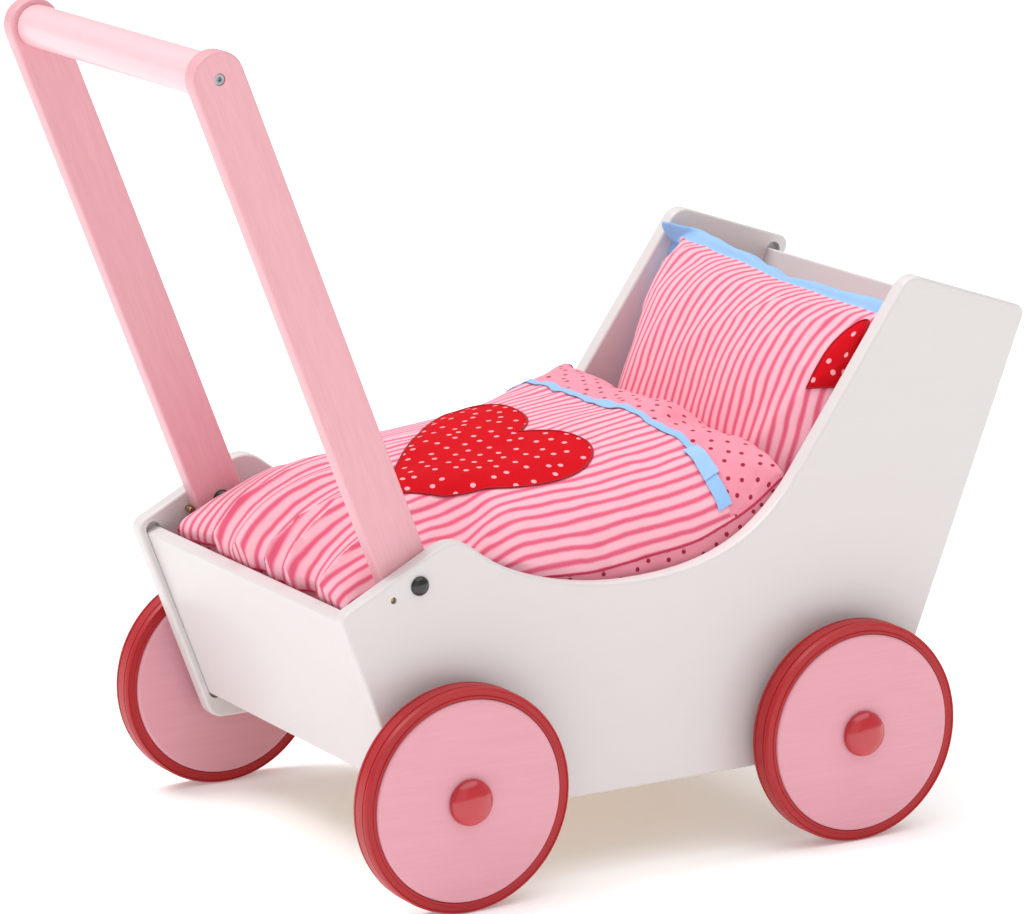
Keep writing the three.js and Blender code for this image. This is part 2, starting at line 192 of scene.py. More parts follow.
def turned(name: str, section: Profile, centre: Vector, steps: int = 96, sharp: float = 40.0) -> bpy.types.Object:
    """Turns a closed section about an axle that runs along Y, as on a lathe.

    Args:
        name: The piece's name.
        section: Corners of the section as (radius, distance along Y from the centre), in order round it.
        centre: A point on the axle.
        steps: How many steps make the full turn.
        sharp: Edges over this angle stay crisp.

    Returns:
        The turned piece.
    """
    bpy.ops.object.select_all(action="DESELECT")
    bpy.ops.mesh.primitive_circle_add(vertices=len(section), radius=1, fill_type="NOTHING")
    obj = finish_primitive(name)
    rows = [(centre.x, centre.y + along, centre.z + radius) for radius, along in section]
    set_coordinates(obj, np.array(rows))
    bpy.ops.object.mode_set(mode="EDIT")
    bpy.ops.mesh.select_all(action="SELECT")
    bpy.ops.mesh.spin(steps=steps, angle=math.tau, center=centre, axis=(0, 1, 0))
    bpy.ops.mesh.select_all(action="SELECT")
    bpy.ops.mesh.remove_doubles(threshold=1e-6)
    bpy.ops.mesh.delete_loose(use_verts=True, use_edges=True, use_faces=False)
    bpy.ops.mesh.select_all(action="SELECT")
    bpy.ops.mesh.normals_make_consistent(inside=False)
    bpy.ops.object.mode_set(mode="OBJECT")
    smooth(obj, sharp)
    return obj


def rounded(corners: Sequence[tuple[float, float, float]], steps: int = 5) -> list[tuple[float, float]]:
    """Rounds the corners of a closed section.

    Args:
        corners: (radius, along, rounding) for each corner, in order round the section.
        steps: How many steps make each rounded corner.

    Returns:
        The section's points.
    """
    points: list[tuple[float, float]] = []
    count = len(corners)
    for i, (radius, along, rounding) in enumerate(corners):
        here = Vector((radius, along))
        if rounding <= 0:
            points.append((radius, along))
            continue
        before = Vector(corners[i - 1][:2]) - here
        after = Vector(corners[(i + 1) % count][:2]) - here
        reach = min(rounding, before.length * 0.49, after.length * 0.49)
        start = here + before.normalized() * reach
        end = here + after.normalized() * reach
        for k in range(steps + 1):
            t = k / steps
            spot = start * (1 - t) ** 2 + here * 2 * t * (1 - t) + end * t**2
            points.append((spot.x, spot.y))
    return points


def refined_copy(node: bpy.types.Object, name: str) -> bpy.types.Object:
    """Copies a board of the frame, merges its loose triangles and gives its roundings smooth shading.

    Args:
        node: The frame's object, which stays as it is.
        name: The copy's name.

    Returns:
        The copy.
    """
    pick(node)
    bpy.ops.object.duplicate()
    obj = finish_primitive(name)
    obj.parent = None
    for key in [k for k in obj.keys() if k.startswith("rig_")]:
        del obj[key]
    obj.data.materials.clear()
    bpy.ops.object.mode_set(mode="EDIT")
    bpy.ops.mesh.select_all(action="SELECT")
    bpy.ops.mesh.remove_doubles(threshold=1e-5)
    bpy.ops.mesh.dissolve_limited(angle_limit=math.radians(0.5))
    bpy.ops.object.mode_set(mode="OBJECT")
    smooth(obj, 60)
    apply_modifier(obj, "WEIGHTED_NORMAL", keep_sharp=True, weight=100)
    return obj


def tube_along(name: str, line: np.ndarray, radius: float, sides: int = 8, flat: float = 1.0) -> bpy.types.Object:
    """Makes a closed cord or bead along a line of points.

    Args:
        name: The piece's name.
        line: Points along the middle of the bead. It is a loop if its ends meet.
        radius: Half the bead's width.
        sides: Sides of the bead's section.
        flat: The bead's height as a share of its width.

    Returns:
        The bead.
    """
    loop = np.linalg.norm(line[0] - line[-1]) < 1e-6
    bpy.ops.object.select_all(action="DESELECT")
    bpy.ops.mesh.primitive_grid_add(x_subdivisions=len(line) - 1, y_subdivisions=sides, size=2)
    obj = finish_primitive(name)
    rows = coordinates(obj)
    steps = np.rint((rows[:, 0] + 1) / 2 * (len(line) - 1)).astype(int)
    turns = (rows[:, 1] + 1) / 2 * math.tau
    ahead = np.gradient(line, axis=0)
    if loop:
        ahead[0] = ahead[-1] = line[1] - line[-2]
    ahead /= np.linalg.norm(ahead, axis=1)[:, None]
    up = np.array((0.0, 0.0, 1.0))
    across = np.cross(ahead, up)
    across /= np.linalg.norm(across, axis=1)[:, None] + 1e-12
    lift = np.cross(across, ahead)
    width = radius * np.cos(turns)[:, None] * across[steps]
    height = flat * radius * np.sin(turns)[:, None] * lift[steps]
    set_coordinates(obj, line[steps] + width + height)
    bpy.ops.object.mode_set(mode="EDIT")
    bpy.ops.mesh.select_all(action="SELECT")
    bpy.ops.mesh.remove_doubles(threshold=1e-6)
    if not loop:
        bpy.ops.mesh.select_all(action="DESELECT")
        bpy.ops.mesh.select_non_manifold(extend=False)
        bpy.ops.mesh.fill_holes(sides=0)
        bpy.ops.mesh.select_all(action="SELECT")
    bpy.ops.mesh.normals_make_consistent(inside=False)
    bpy.ops.object.mode_set(mode="OBJECT")
    smooth(obj, 60)
    return obj


def place(obj: bpy.types.Object, body: str, slot: str, *nodes: str) -> bpy.types.Object:
    """Hangs a finished piece on its body.

    Args:
        obj: The piece.
        body: The body that it moves with.
        slot: The record's material slot. Not used.
        *nodes: The frame's nodes that it stands for.

    Returns:
        The piece.
    """
    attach(obj, body)
    if nodes:
        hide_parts(*nodes)
    log.info("%s rides on %s", obj.name, body)
    return obj


# ---------------------------------------------------------------- shader groups


@dataclass
class Graph:
    """A node tree with short ways to add and join nodes."""

    tree: bpy.types.NodeTree

    def add(self, kind: str, values: dict[Any, Any] | None = None, **settings: Any) -> bpy.types.Node:
        """Adds a node.

        Args:
            kind: The node's type, without ShaderNode in front.
            values: Input sockets' values or the sockets that feed them, by name or number.
            **settings: The node's own properties.

        Returns:
            The node.
        """
        node = self.tree.nodes.new("ShaderNode" + kind)
        for key, value in settings.items():
            setattr(node, key, value)
        for key, value in (values or {}).items():
            if isinstance(value, bpy.types.NodeSocket):
                self.tree.links.new(value, node.inputs[key])
            else:
                node.inputs[key].default_value = value
        return node

    def math(self, operation: str, *values: Any) -> bpy.types.NodeSocket:
        """Adds a Math node and returns its result."""
        return self.add("Math", dict(enumerate(values)), operation=operation).outputs[0]

    def mix(self, factor: Any, low: Any, high: Any) -> bpy.types.NodeSocket:
        """Mixes two colours and returns the mixed colour."""
        node = self.add("Mix", data_type="RGBA")
        for socket, value in ((node.inputs[0], factor), (node.inputs[6], low), (node.inputs[7], high)):
            if isinstance(value, bpy.types.NodeSocket):
                self.tree.links.new(value, socket)
            else:
                socket.default_value = value
        return node.outputs[2]

    def group(self, tree: bpy.types.NodeTree, values: dict[str, Any]) -> bpy.types.Node:
        """Places a shared group with its own values."""
        node = self.tree.nodes.new("ShaderNodeGroup")
        node.node_tree = tree
        for key, value in values.items():
            if isinstance(value, bpy.types.NodeSocket):
                self.tree.links.new(value, node.inputs[key])
            else:
                node.inputs[key].default_value = value
        return node


def new_group(name: str, inputs: dict[str, float | None], output: str) -> tuple[Graph, dict[str, Any], Any]:
    """Starts a shared group with named sockets.

    Args:
        name: The group's name.
        inputs: Each input's starting value, or None for a vector.
        output: The name of its one value output.

    Returns:
        The group's graph, its input sockets by name, and the socket that its result goes to.
    """
    tree = bpy.data.node_groups.new(name, "ShaderNodeTree")
    for label, value in inputs.items():
        kind = "NodeSocketVector" if value is None else "NodeSocketFloat"
        socket = tree.interface.new_socket(name=label, in_out="INPUT", socket_type=kind)
        if value is not None:
            socket.default_value = value
    tree.interface.new_socket(name=output, in_out="OUTPUT", socket_type="NodeSocketFloat")
    entry = tree.nodes.new("NodeGroupInput")
    leave = tree.nodes.new("NodeGroupOutput")
    return Graph(tree), {label: entry.outputs[label] for label in inputs}, leave.inputs[0]


class Patterns:
    """The shared groups: grain, weave, stripes, dots and mottle, each built once."""

    def __init__(self) -> None:
        """Builds every group."""
        self.grain = self._grain()
        self.weave = self._weave()
        self.stripes = self._stripes()
        self.dots = self._dots()
        self.mottle = self._mottle()

    def _grain(self) -> bpy.types.NodeTree:
        """Fine fibres with slow, broad bands between them. Its Vector is already drawn out along the fibres."""
        graph, given, result = new_group("wood grain", {"Vector": None, "Fineness": 900.0, "Bands": 0.4}, "Shade")
        fibres = graph.add("TexNoise", {"Vector": given["Vector"], "Scale": given["Fineness"], "Detail": 3.0})
        broad_scale = graph.math("MULTIPLY", given["Fineness"], 0.12)
        broad = graph.add("TexNoise", {"Vector": given["Vector"], "Scale": broad_scale, "Detail": 2.0})
        fine = graph.math("MULTIPLY", fibres.outputs[0], graph.math("SUBTRACT", 1.0, given["Bands"]))
        slow = graph.math("MULTIPLY", broad.outputs[0], given["Bands"])
        graph.tree.links.new(graph.math("ADD", fine, slow), result)
        return graph.tree

    def _weave(self) -> bpy.types.NodeTree:
        """A plain weave's height from cloth distances in metres."""
        graph, given, result = new_group("plain weave", {"Vector": None, "Thread": 0.0006}, "Height")
        parts = graph.add("SeparateXYZ", {0: given["Vector"]})
        waves = []
        for axis in (0, 1):
            turns = graph.math("DIVIDE", parts.outputs[axis], given["Thread"])
            waves.append(graph.math("SINE", graph.math("MULTIPLY", turns, math.tau)))
        crossed = graph.math("MULTIPLY", waves[0], waves[1])
        graph.tree.links.new(graph.math("MULTIPLY_ADD", crossed, 0.5, 0.5), result)
        return graph.tree

    def _stripes(self) -> bpy.types.NodeTree:
        """Stripes across the second cloth distance, with softly printed edges."""
        inputs = {"Vector": None, "Period": 0.008, "Share": 0.42, "Softness": 0.2}
        graph, given, result = new_group("woven stripes", inputs, "Mask")
        parts = graph.add("SeparateXYZ", {0: given["Vector"]})
        turns = graph.math("DIVIDE", parts.outputs[1], given["Period"])
        inside = graph.math("FRACT", graph.math("ADD", turns, 1000.0))
        offset = graph.math("ABSOLUTE", graph.math("SUBTRACT", inside, 0.5))
        half = graph.math("MULTIPLY", given["Share"], 0.5)
        edge = graph.math("DIVIDE", graph.math("SUBTRACT", half, offset), given["Softness"])
        mask = graph.add("Clamp", {0: graph.math("ADD", edge, 0.5)})
        graph.tree.links.new(mask.outputs[0], result)
        return graph.tree

    def _dots(self) -> bpy.types.NodeTree:
        """Round dots a little scattered about the corners of a grid."""
        inputs = {"Vector": None, "Pitch": 0.01, "Radius": 0.0015, "Scatter": 0.35}
        graph, given, result = new_group("printed dots", inputs, "Mask")
        scale = graph.math("DIVIDE", 1.0, given["Pitch"])
        values = {"Vector": given["Vector"], "Scale": scale, "Randomness": given["Scatter"]}
        cells = graph.add("TexVoronoi", values, voronoi_dimensions="2D")
        spread = graph.math("MULTIPLY", cells.outputs["Distance"], given["Pitch"])
        edge = graph.math("DIVIDE", graph.math("SUBTRACT", given["Radius"], spread), 0.00025)
        mask = graph.add("Clamp", {0: graph.math("ADD", edge, 0.5)})
        graph.tree.links.new(mask.outputs[0], result)
        return graph.tree

    def _mottle(self) -> bpy.types.NodeTree:
        """Slow, soft unevenness between two values."""
        graph, given, result = new_group("mottle", {"Vector": None, "Scale": 30.0, "Low": 0.0, "High": 1.0}, "Value")
        cloud = graph.add("TexNoise", {"Vector": given["Vector"], "Scale": given["Scale"], "Detail": 4.0})
        spread = graph.math("SUBTRACT", given["High"], given["Low"])
        graph.tree.links.new(graph.math("MULTIPLY_ADD", cloud.outputs[0], spread, given["Low"]), result)
        return graph.tree


@dataclass
class Start:
    """A new material with its shader and graph."""

    material: bpy.types.Material
    graph: Graph
    shader: bpy.types.Node

    def feed(self, socket: str, source: bpy.types.NodeSocket) -> None:
        """Joins a socket to one of the shader's inputs."""
        self.graph.tree.links.new(source, self.shader.inputs[socket])

    def bump(self, height: bpy.types.NodeSocket, distance: float, strength: float) -> None:
        """Roughens the surface by a height, in metres."""
        node = self.graph.add("Bump", {"Height": height, "Distance": distance, "Strength": strength})
        self.feed("Normal", node.outputs[0])


def start_material(name: str, **sockets: Any) -> Start:
    """Makes a material with one Principled shader.

    Args:
        name: The material's name.
        **sockets: Values for the shader's sockets, with _ for each space.

    Returns:
        The material and its parts.
    """
    material = bpy.data.materials.new(name)
    material.use_nodes = True
    shader = material.node_tree.nodes["Principled BSDF"]
    for key, value in sockets.items():
        shader.inputs[key.replace("_", " ")].default_value = value
    return Start(material, Graph(material.node_tree), shader)


# ---------------------------------------------------------------- finishes


@dataclass(frozen=True)
class WoodFinish:
    """Paint or stain on wood, with the grain showing through as much as it is thin."""

    name: str
    colour: Colour
    deep: Colour
    show: float
    roughness: float
    fibre: Fibre = Fibre.ALONG
    fineness: float = 900.0
    coat: float = 0.25
    lean: float = 0.0
    relief: float = 0.00006

    def material(self, patterns: Patterns) -> bpy.types.Material:
        """Builds the finish.

        Args:
            patterns: The shared groups.

        Returns:
            The material.
        """
        start = start_material(self.name, Coat_Weight=self.coat, Coat_Roughness=0.2)
        graph = start.graph
        where = graph.add("TexCoord").outputs["Object"]
        turned_round = graph.add("Mapping", {"Vector": where, "Rotation": (0.0, self.lean, 0.0)})
        drawn_out = graph.add("Mapping", {"Vector": turned_round.outputs[0], "Scale": self.fibre.value})
        fibres = graph.group(
            patterns.grain, {"Vector": drawn_out.outputs[0], "Fineness": self.fineness, "Bands": 0.35}
        )
        shade = graph.add("MapRange", {"Value": fibres.outputs[0], "From Min": 0.35, "From Max": 0.65})
        cloud = graph.group(patterns.mottle, {"Vector": where, "Scale": 14.0, "Low": 0.75, "High": 1.25})
        factor = graph.math("MULTIPLY", graph.math("MULTIPLY", shade.outputs[0], self.show), cloud.outputs[0])
        start.feed("Base Color", graph.mix(factor, self.colour, self.deep))
        gloss = graph.group(
            patterns.mottle,
            {"Vector": where, "Scale": 60.0, "Low": self.roughness - 0.06, "High": self.roughness + 0.06},
        )
        start.feed("Roughness", gloss.outputs[0])
        start.bump(fibres.outputs[0], self.relief, 0.5)
        return start.material


@dataclass(frozen=True)
class MouldedFinish:
    """Rubber, plastic or lacquer with a soft, slightly uneven surface."""

    name: str
    colour: Colour
    deep: Colour
    roughness: float
    coat: float = 0.0
    metallic: float = 0.0
    pores: float = 400.0
    relief: float = 0.00003

    def material(self, patterns: Patterns) -> bpy.types.Material:
        """Builds the finish.

        Args:
            patterns: The shared groups.

        Returns:
            The material.
        """
        start = start_material(self.name, Coat_Weight=self.coat, Coat_Roughness=0.08, Metallic=self.metallic)
        graph = start.graph
        where = graph.add("TexCoord").outputs["Object"]
        cloud = graph.group(patterns.mottle, {"Vector": where, "Scale": 25.0, "Low": 0.0, "High": 1.0})
        start.feed("Base Color", graph.mix(cloud.outputs[0], self.colour, self.deep))
        gloss = graph.group(
            patterns.mottle,
            {"Vector": where, "Scale": 90.0, "Low": self.roughness - 0.05, "High": self.roughness + 0.05},
        )
        start.feed("Roughness", gloss.outputs[0])
        pores = graph.group(patterns.mottle, {"Vector": where, "Scale": self.pores, "Low": 0.0, "High": 1.0})
        start.bump(pores.outputs[0], self.relief, 0.4)
        return start.material


class Print(Enum):
    """What is printed on a cotton."""

    PLAIN = "plain"
    STRIPES = "stripes"
    DOTS = "dots"


@dataclass(frozen=True)
class CottonFinish:
    """Woven cotton, plain, striped or dotted, laid out by its cloth distances."""

    name: str
    colour: Colour
    ink: Colour
    pattern: Print = Print.PLAIN
    pitch: float = 8.2 * MM
    dot: float = 1.5 * MM
    share: float = 0.4
    turn: float = 0.0
    scatter: float = 0.35
    thread: float = 0.55 * MM
    wander: float = 5.0 * MM
    sheen: float = 0.12
    gloss: float = 0.25
    fade: float = 0.16

    def material(self, patterns: Patterns) -> bpy.types.Material:
        """Builds the finish.

        Args:
            patterns: The shared groups.

        Returns:
            The material.
        """
        start = start_material(
            self.name, Sheen_Weight=self.sheen, Sheen_Roughness=0.5, Specular_IOR_Level=self.gloss
        )
        graph = start.graph
        cloth = graph.add("UVMap", uv_map=CLOTH_UV).outputs[0]
        laid = graph.add("Mapping", {"Vector": cloth, "Rotation": (0.0, 0.0, self.turn)}).outputs[0]
        if self.pattern is Print.STRIPES:
            wander = graph.add("TexNoise", {"Vector": cloth, "Scale": 28.0, "Detail": 2.0}).outputs[0]
            shift = graph.math("MULTIPLY", graph.math("SUBTRACT", wander, 0.5), self.wander)
            aside = graph.add("CombineXYZ", {1: shift}).outputs[0]
            laid = graph.add("VectorMath", {0: laid, 1: aside}, operation="ADD").outputs[0]
        threads = graph.group(patterns.weave, {"Vector": cloth, "Thread": self.thread})
        base: Any = self.colour
        if self.pattern is Print.STRIPES:
            mask = graph.group(patterns.stripes, {"Vector": laid, "Period": self.pitch, "Share": self.share})
            base = graph.mix(mask.outputs[0], self.colour, self.ink)
        elif self.pattern is Print.DOTS:
            values = {"Vector": laid, "Pitch": self.pitch, "Radius": self.dot, "Scatter": self.scatter}
            base = graph.mix(graph.group(patterns.dots, values).outputs[0], self.colour, self.ink)
        faded = graph.group(patterns.mottle, {"Vector": cloth, "Scale": 45.0, "Low": 0.0, "High": self.fade})
        worn = graph.mix(faded.outputs[0], base, self.ink)
        shaded = graph.math("MULTIPLY", threads.outputs[0], 0.1)
        start.feed("Base Color", graph.mix(shaded, worn, (*[c * 0.6 for c in self.colour[:3]], 1.0)))
        rough = graph.group(patterns.mottle, {"Vector": cloth, "Scale": 200.0, "Low": 0.78, "High": 0.94})
        start.feed("Roughness", rough.outputs[0])
        start.bump(threads.outputs[0], 0.00012, 0.5)
        return start.material


class Palette:
    """Every finish of the pram as a finished material."""

    def __init__(self, patterns: Patterns) -> None:
        """Builds the materials from the shared groups."""
        white, shadow = linear(214, 208, 207), linear(205, 198, 197)
        pink, rose = linear(226, 166, 175), linear(213, 145, 156)
        handle_lean = math.radians(20.8)
        finishes: dict[str, Any] = {
            "white_panel": WoodFinish("white lacquer, panels", white, shadow, 0.16, 0.42, Fibre.ALONG, 700.0),
            "white_board": WoodFinish("white lacquer, boards", white, shadow, 0.16, 0.42, Fibre.ACROSS, 700.0),
            "arm": WoodFinish("pink stain, arms", pink, rose, 0.4, 0.42, Fibre.UPRIGHT, 1100.0, lean=handle_lean),
            # Painted highlight: the bar has the arms' pink stain, but its colours are set lighter than the arms' to
            # stand in for the light falling on its top.
            "bar": WoodFinish("pink stain, bar", linear(244, 196, 203), linear(234, 178, 187), 0.3, 0.34, Fibre.ACROSS, 1000.0),
            "disc": WoodFinish(
                "pink stain, wheels", linear(220, 156, 168), linear(208, 141, 154), 0.35, 0.5, Fibre.ALONG, 1000.0, 0.1
            ),
            "ply": WoodFinish("clear birch", linear(226, 200, 160), linear(190, 152, 108), 0.8, 0.5, Fibre.ALONG, 500.0),
            "tyre": MouldedFinish("red rubber", linear(178, 14, 24), linear(162, 12, 22), 0.46),
            "hub": MouldedFinish("red lacquer", linear(190, 30, 42), linear(174, 22, 34), 0.22, 0.6),
            "black": MouldedFinish("black plastic", linear(34, 32, 31), linear(22, 20, 20), 0.22, 0.3),
            "steel": MouldedFinish("zinc steel", linear(176, 178, 182), linear(150, 152, 156), 0.34, 0.0, 1.0),
            "brass": MouldedFinish("brass pin", linear(186, 160, 122), linear(150, 122, 88), 0.4, 0.0, 1.0),
            "stripes": CottonFinish("striped cotton", linear(248, 186, 199), linear(224, 88, 122), Print.STRIPES),
            "band": CottonFinish(
                "dotted pink cotton", linear(241, 150, 169), linear(156, 10, 44), Print.DOTS, 10.5 * MM, 1.5 * MM,
                turn=0.5,
            ),
            "heart": CottonFinish(
                "dotted red cotton", linear(200, 2, 20), linear(250, 170, 178), Print.DOTS, 12.5 * MM, 1.7 * MM,
                turn=0.35, scatter=0.5, sheen=0.0, gloss=0.08, fade=0.02,
            ),
            "stitch": CottonFinish("dark red stitching", linear(168, 8, 30), linear(130, 8, 26), thread=0.9 * MM),
            "seam": CottonFinish("seam thread", linear(196, 50, 86), linear(150, 20, 52)),
            "blue": CottonFinish("blue cotton", linear(150, 192, 238), linear(112, 152, 206)),
            "tab": CottonFinish("pale blue tab", linear(158, 197, 238), linear(120, 160, 212)),
            "ticking": CottonFinish("mattress cotton", linear(244, 236, 226), linear(220, 206, 190)),
        }
        self.materials = {key: finish.material(patterns) for key, finish in finishes.items()}

    def dress(self, obj: bpy.types.Object, *keys: str) -> None:
        """Gives a piece its materials, in slot order."""
        obj.data.materials.clear()
        for key in keys:
            obj.data.materials.append(self.materials[key])


# ---------------------------------------------------------------- wood and wheels


@dataclass
class Tub:
    """The white side panels and end boards, the floor, and the pins behind the arms."""

    nodes: dict[str, bpy.types.Object]
    palette: Palette
    boards: dict[str, tuple[str, str]] = field(
        default_factory=lambda: {
            "side_panel_left": ("white_panel", "white_wood"),
            "side_panel_right": ("white_panel", "white_wood"),
            "foot_board": ("white_board", "white_wood"),
            "head_board": ("white_board", "white_wood"),
            "floor_board": ("ply", "plywood"),
        }
    )

    def build(self) -> None:
        """Makes the boards and the pins."""
        for node, (finish, slot) in self.boards.items():
            piece = refined_copy(self.nodes[node], f"{node}_lacquered")
            self.palette.dress(piece, finish)
            place(piece, "pram", slot, node)
        for side in Side:
            self._pin(side)

    def _pin(self, side: Side) -> None:
        """Turns one stop pin with rounded ends."""
        node = f"stop_pin_{side.label}"
        low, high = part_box(node)
        centre, half, radius = (low + high) / 2, (high.y - low.y) / 2, (high.x - low.x) / 2
        section = rounded([(0, -half, 0), (radius, -half, 0.8 * MM), (radius, half, 0.8 * MM), (0, half, 0)])
        pin = turned(f"{node}_turned", section, centre, 32)
        self.palette.dress(pin, "brass")
        place(pin, "pram", "brass", node)


@dataclass
class Wheels:
    """Four discs with tyres and hub caps, and what holds them on their axles."""

    palette: Palette
    disc_rounding: float = 2.2 * MM
    lip_width: float = 1.7 * MM
    lip_step: float = 0.9 * MM
    wall_width: float = 3.6 * MM
    tread_groove: float = 0.7 * MM
    hub_rise: float = 2 * MM

    def build(self) -> None:
        """Makes every wheel and axle."""
        for end in End:
            self._axle(end)
            for side in Side:
                self._disc(end, side)
                self._tyre(end, side)
                self._hub(end, side)
                self._small_ring(end, side, "axle_spacer", "black", "black_plastic", 1.0 * MM)
                self._small_ring(end, side, "axle_clip", "steel", "steel", 0.3 * MM)

    def _measure(self, node: str) -> tuple[Vector, float, float]:
        """A turned node's centre, half its width along Y, and its radius."""
        low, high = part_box(node)
        return (low + high) / 2, (high.y - low.y) / 2, (high.z - low.z) / 2

    def _axle(self, end: End) -> None:
        """Turns an axle with chamfered ends."""
        node = f"axle_{end.value}"
        centre, half, radius = self._measure(node)
        section = rounded([(0, -half, 0), (radius, -half, 0.8 * MM), (radius, half, 0.8 * MM), (0, half, 0)], 2)
        axle = turned(f"{node}_turned", section, centre, 32)
        self.palette.dress(axle, "steel")
        place(axle, "pram", "steel", node)

    def _disc(self, end: End, side: Side) -> None:
        """Turns a disc with rounded rims, a tyre groove and an axle hole."""
        node = f"wheel_disc_{end.value}_{side.label}"
        centre, half, radius = self._measure(node)
        bore, groove, groove_half = 3.1 * MM, 3 * MM, 4.5 * MM
        corners = [
            (bore, -half, 0),
            (radius, -half, self.disc_rounding),
            (radius, -groove_half, 0),
            (radius - groove, -groove_half, 0),
            (radius - groove, groove_half, 0),
            (radius, groove_half, 0),
            (radius, half, self.disc_rounding),
            (bore, half, 0),
        ]
        disc = turned(f"{node}_turned", rounded(corners), centre, 128)
        self.palette.dress(disc, "disc")
        place(disc, f"wheel_{end.value}_{side.label}", "wheel_wood", node)

    def _tyre(self, end: End, side: Side) -> None:
        """Turns a tyre: a lip by the disc, a sunken side wall, a shoulder, and a tread with a fine groove."""
        node = f"tyre_{end.value}_{side.label}"
        centre, half, radius = self._measure(node)
        seat = 62.8 * MM
        rib, rib_half = 59.9 * MM, 4.1 * MM
        lip = seat + self.lip_width
        wall = lip + self.wall_width
        sunk = half - self.lip_step
        soft, tight = 0.9 * MM, 0.35 * MM
        groove = radius - self.tread_groove
        groove_half = 1.2 * MM
        upper = [
            (seat, rib_half, 0),
            (seat, half, tight),
            (lip, half, tight),
            (lip + 0.3 * MM, sunk, tight),
            (wall, sunk, tight),
            (wall + 0.3 * MM, half, tight),
            (radius - soft, half, soft),
            (radius, half - 2.2 * MM, soft),
            (radius, half - 2.2 * MM - groove_half, 0),
            (groove, half - 2.2 * MM - 1.2 * groove_half, 0),
            (groove, half - 2.2 * MM - 1.8 * groove_half, 0),
            (radius, half - 2.2 * MM - 2.0 * groove_half, 0),
        ]
        lower = [(r, -along, rounding) for r, along, rounding in reversed(upper)]
        corners = [(rib, rib_half, 0), *upper, *lower, (rib, -rib_half, 0)]
        tyre = turned(f"{node}_moulded", rounded(corners, 4), centre, 144, 50)
        self.palette.dress(tyre, "tyre")
        place(tyre, f"wheel_{end.value}_{side.label}", "red_rubber", node)

    def _hub(self, end: End, side: Side) -> None:
        """Turns a domed hub cap that is hollow inside for the axle's end."""
        node = f"hub_cap_{end.value}_{side.label}"
        centre, half, radius = self._measure(node)
        out = side.value
        hollow, wall, rim = 7 * MM, 2.5 * MM, 0.8 * MM
        arc = []
        for i in range(17):
            turn = i / 16 * math.pi / 2
            along = -half + rim + (2 * half + self.hub_rise - rim) * math.sin(turn)
            arc.append((radius * math.cos(turn) ** 0.9 if i < 16 else 0.0, along * out))
        inside = [(0.0, (half - wall) * out), (hollow, (half - wall) * out), (hollow, -half * out)]
        section = [*inside, (radius - 0.4 * MM, -half * out), *arc]
        cap = turned(f"{node}_turned", section, centre, 72, 45)
        self.palette.dress(cap, "hub")
        place(cap, f"wheel_{end.value}_{side.label}", "red_lacquer", node)

    def _small_ring(self, end: End, side: Side, kind: str, finish: str, slot: str, rounding: float) -> None:
        """Turns a spacer or a clip with eased edges."""
        node = f"{kind}_{end.value}_{side.label}"
        centre, half, radius = self._measure(node)
        bore = 3.1 * MM
        corners = [(bore, -half, 0), (radius, -half, rounding), (radius, half, rounding), (bore, half, 0)]
        piece = turned(f"{node}_turned", rounded(corners, 3), centre, 48)
        self.palette.dress(piece, finish)
        place(piece, "pram", slot, node)


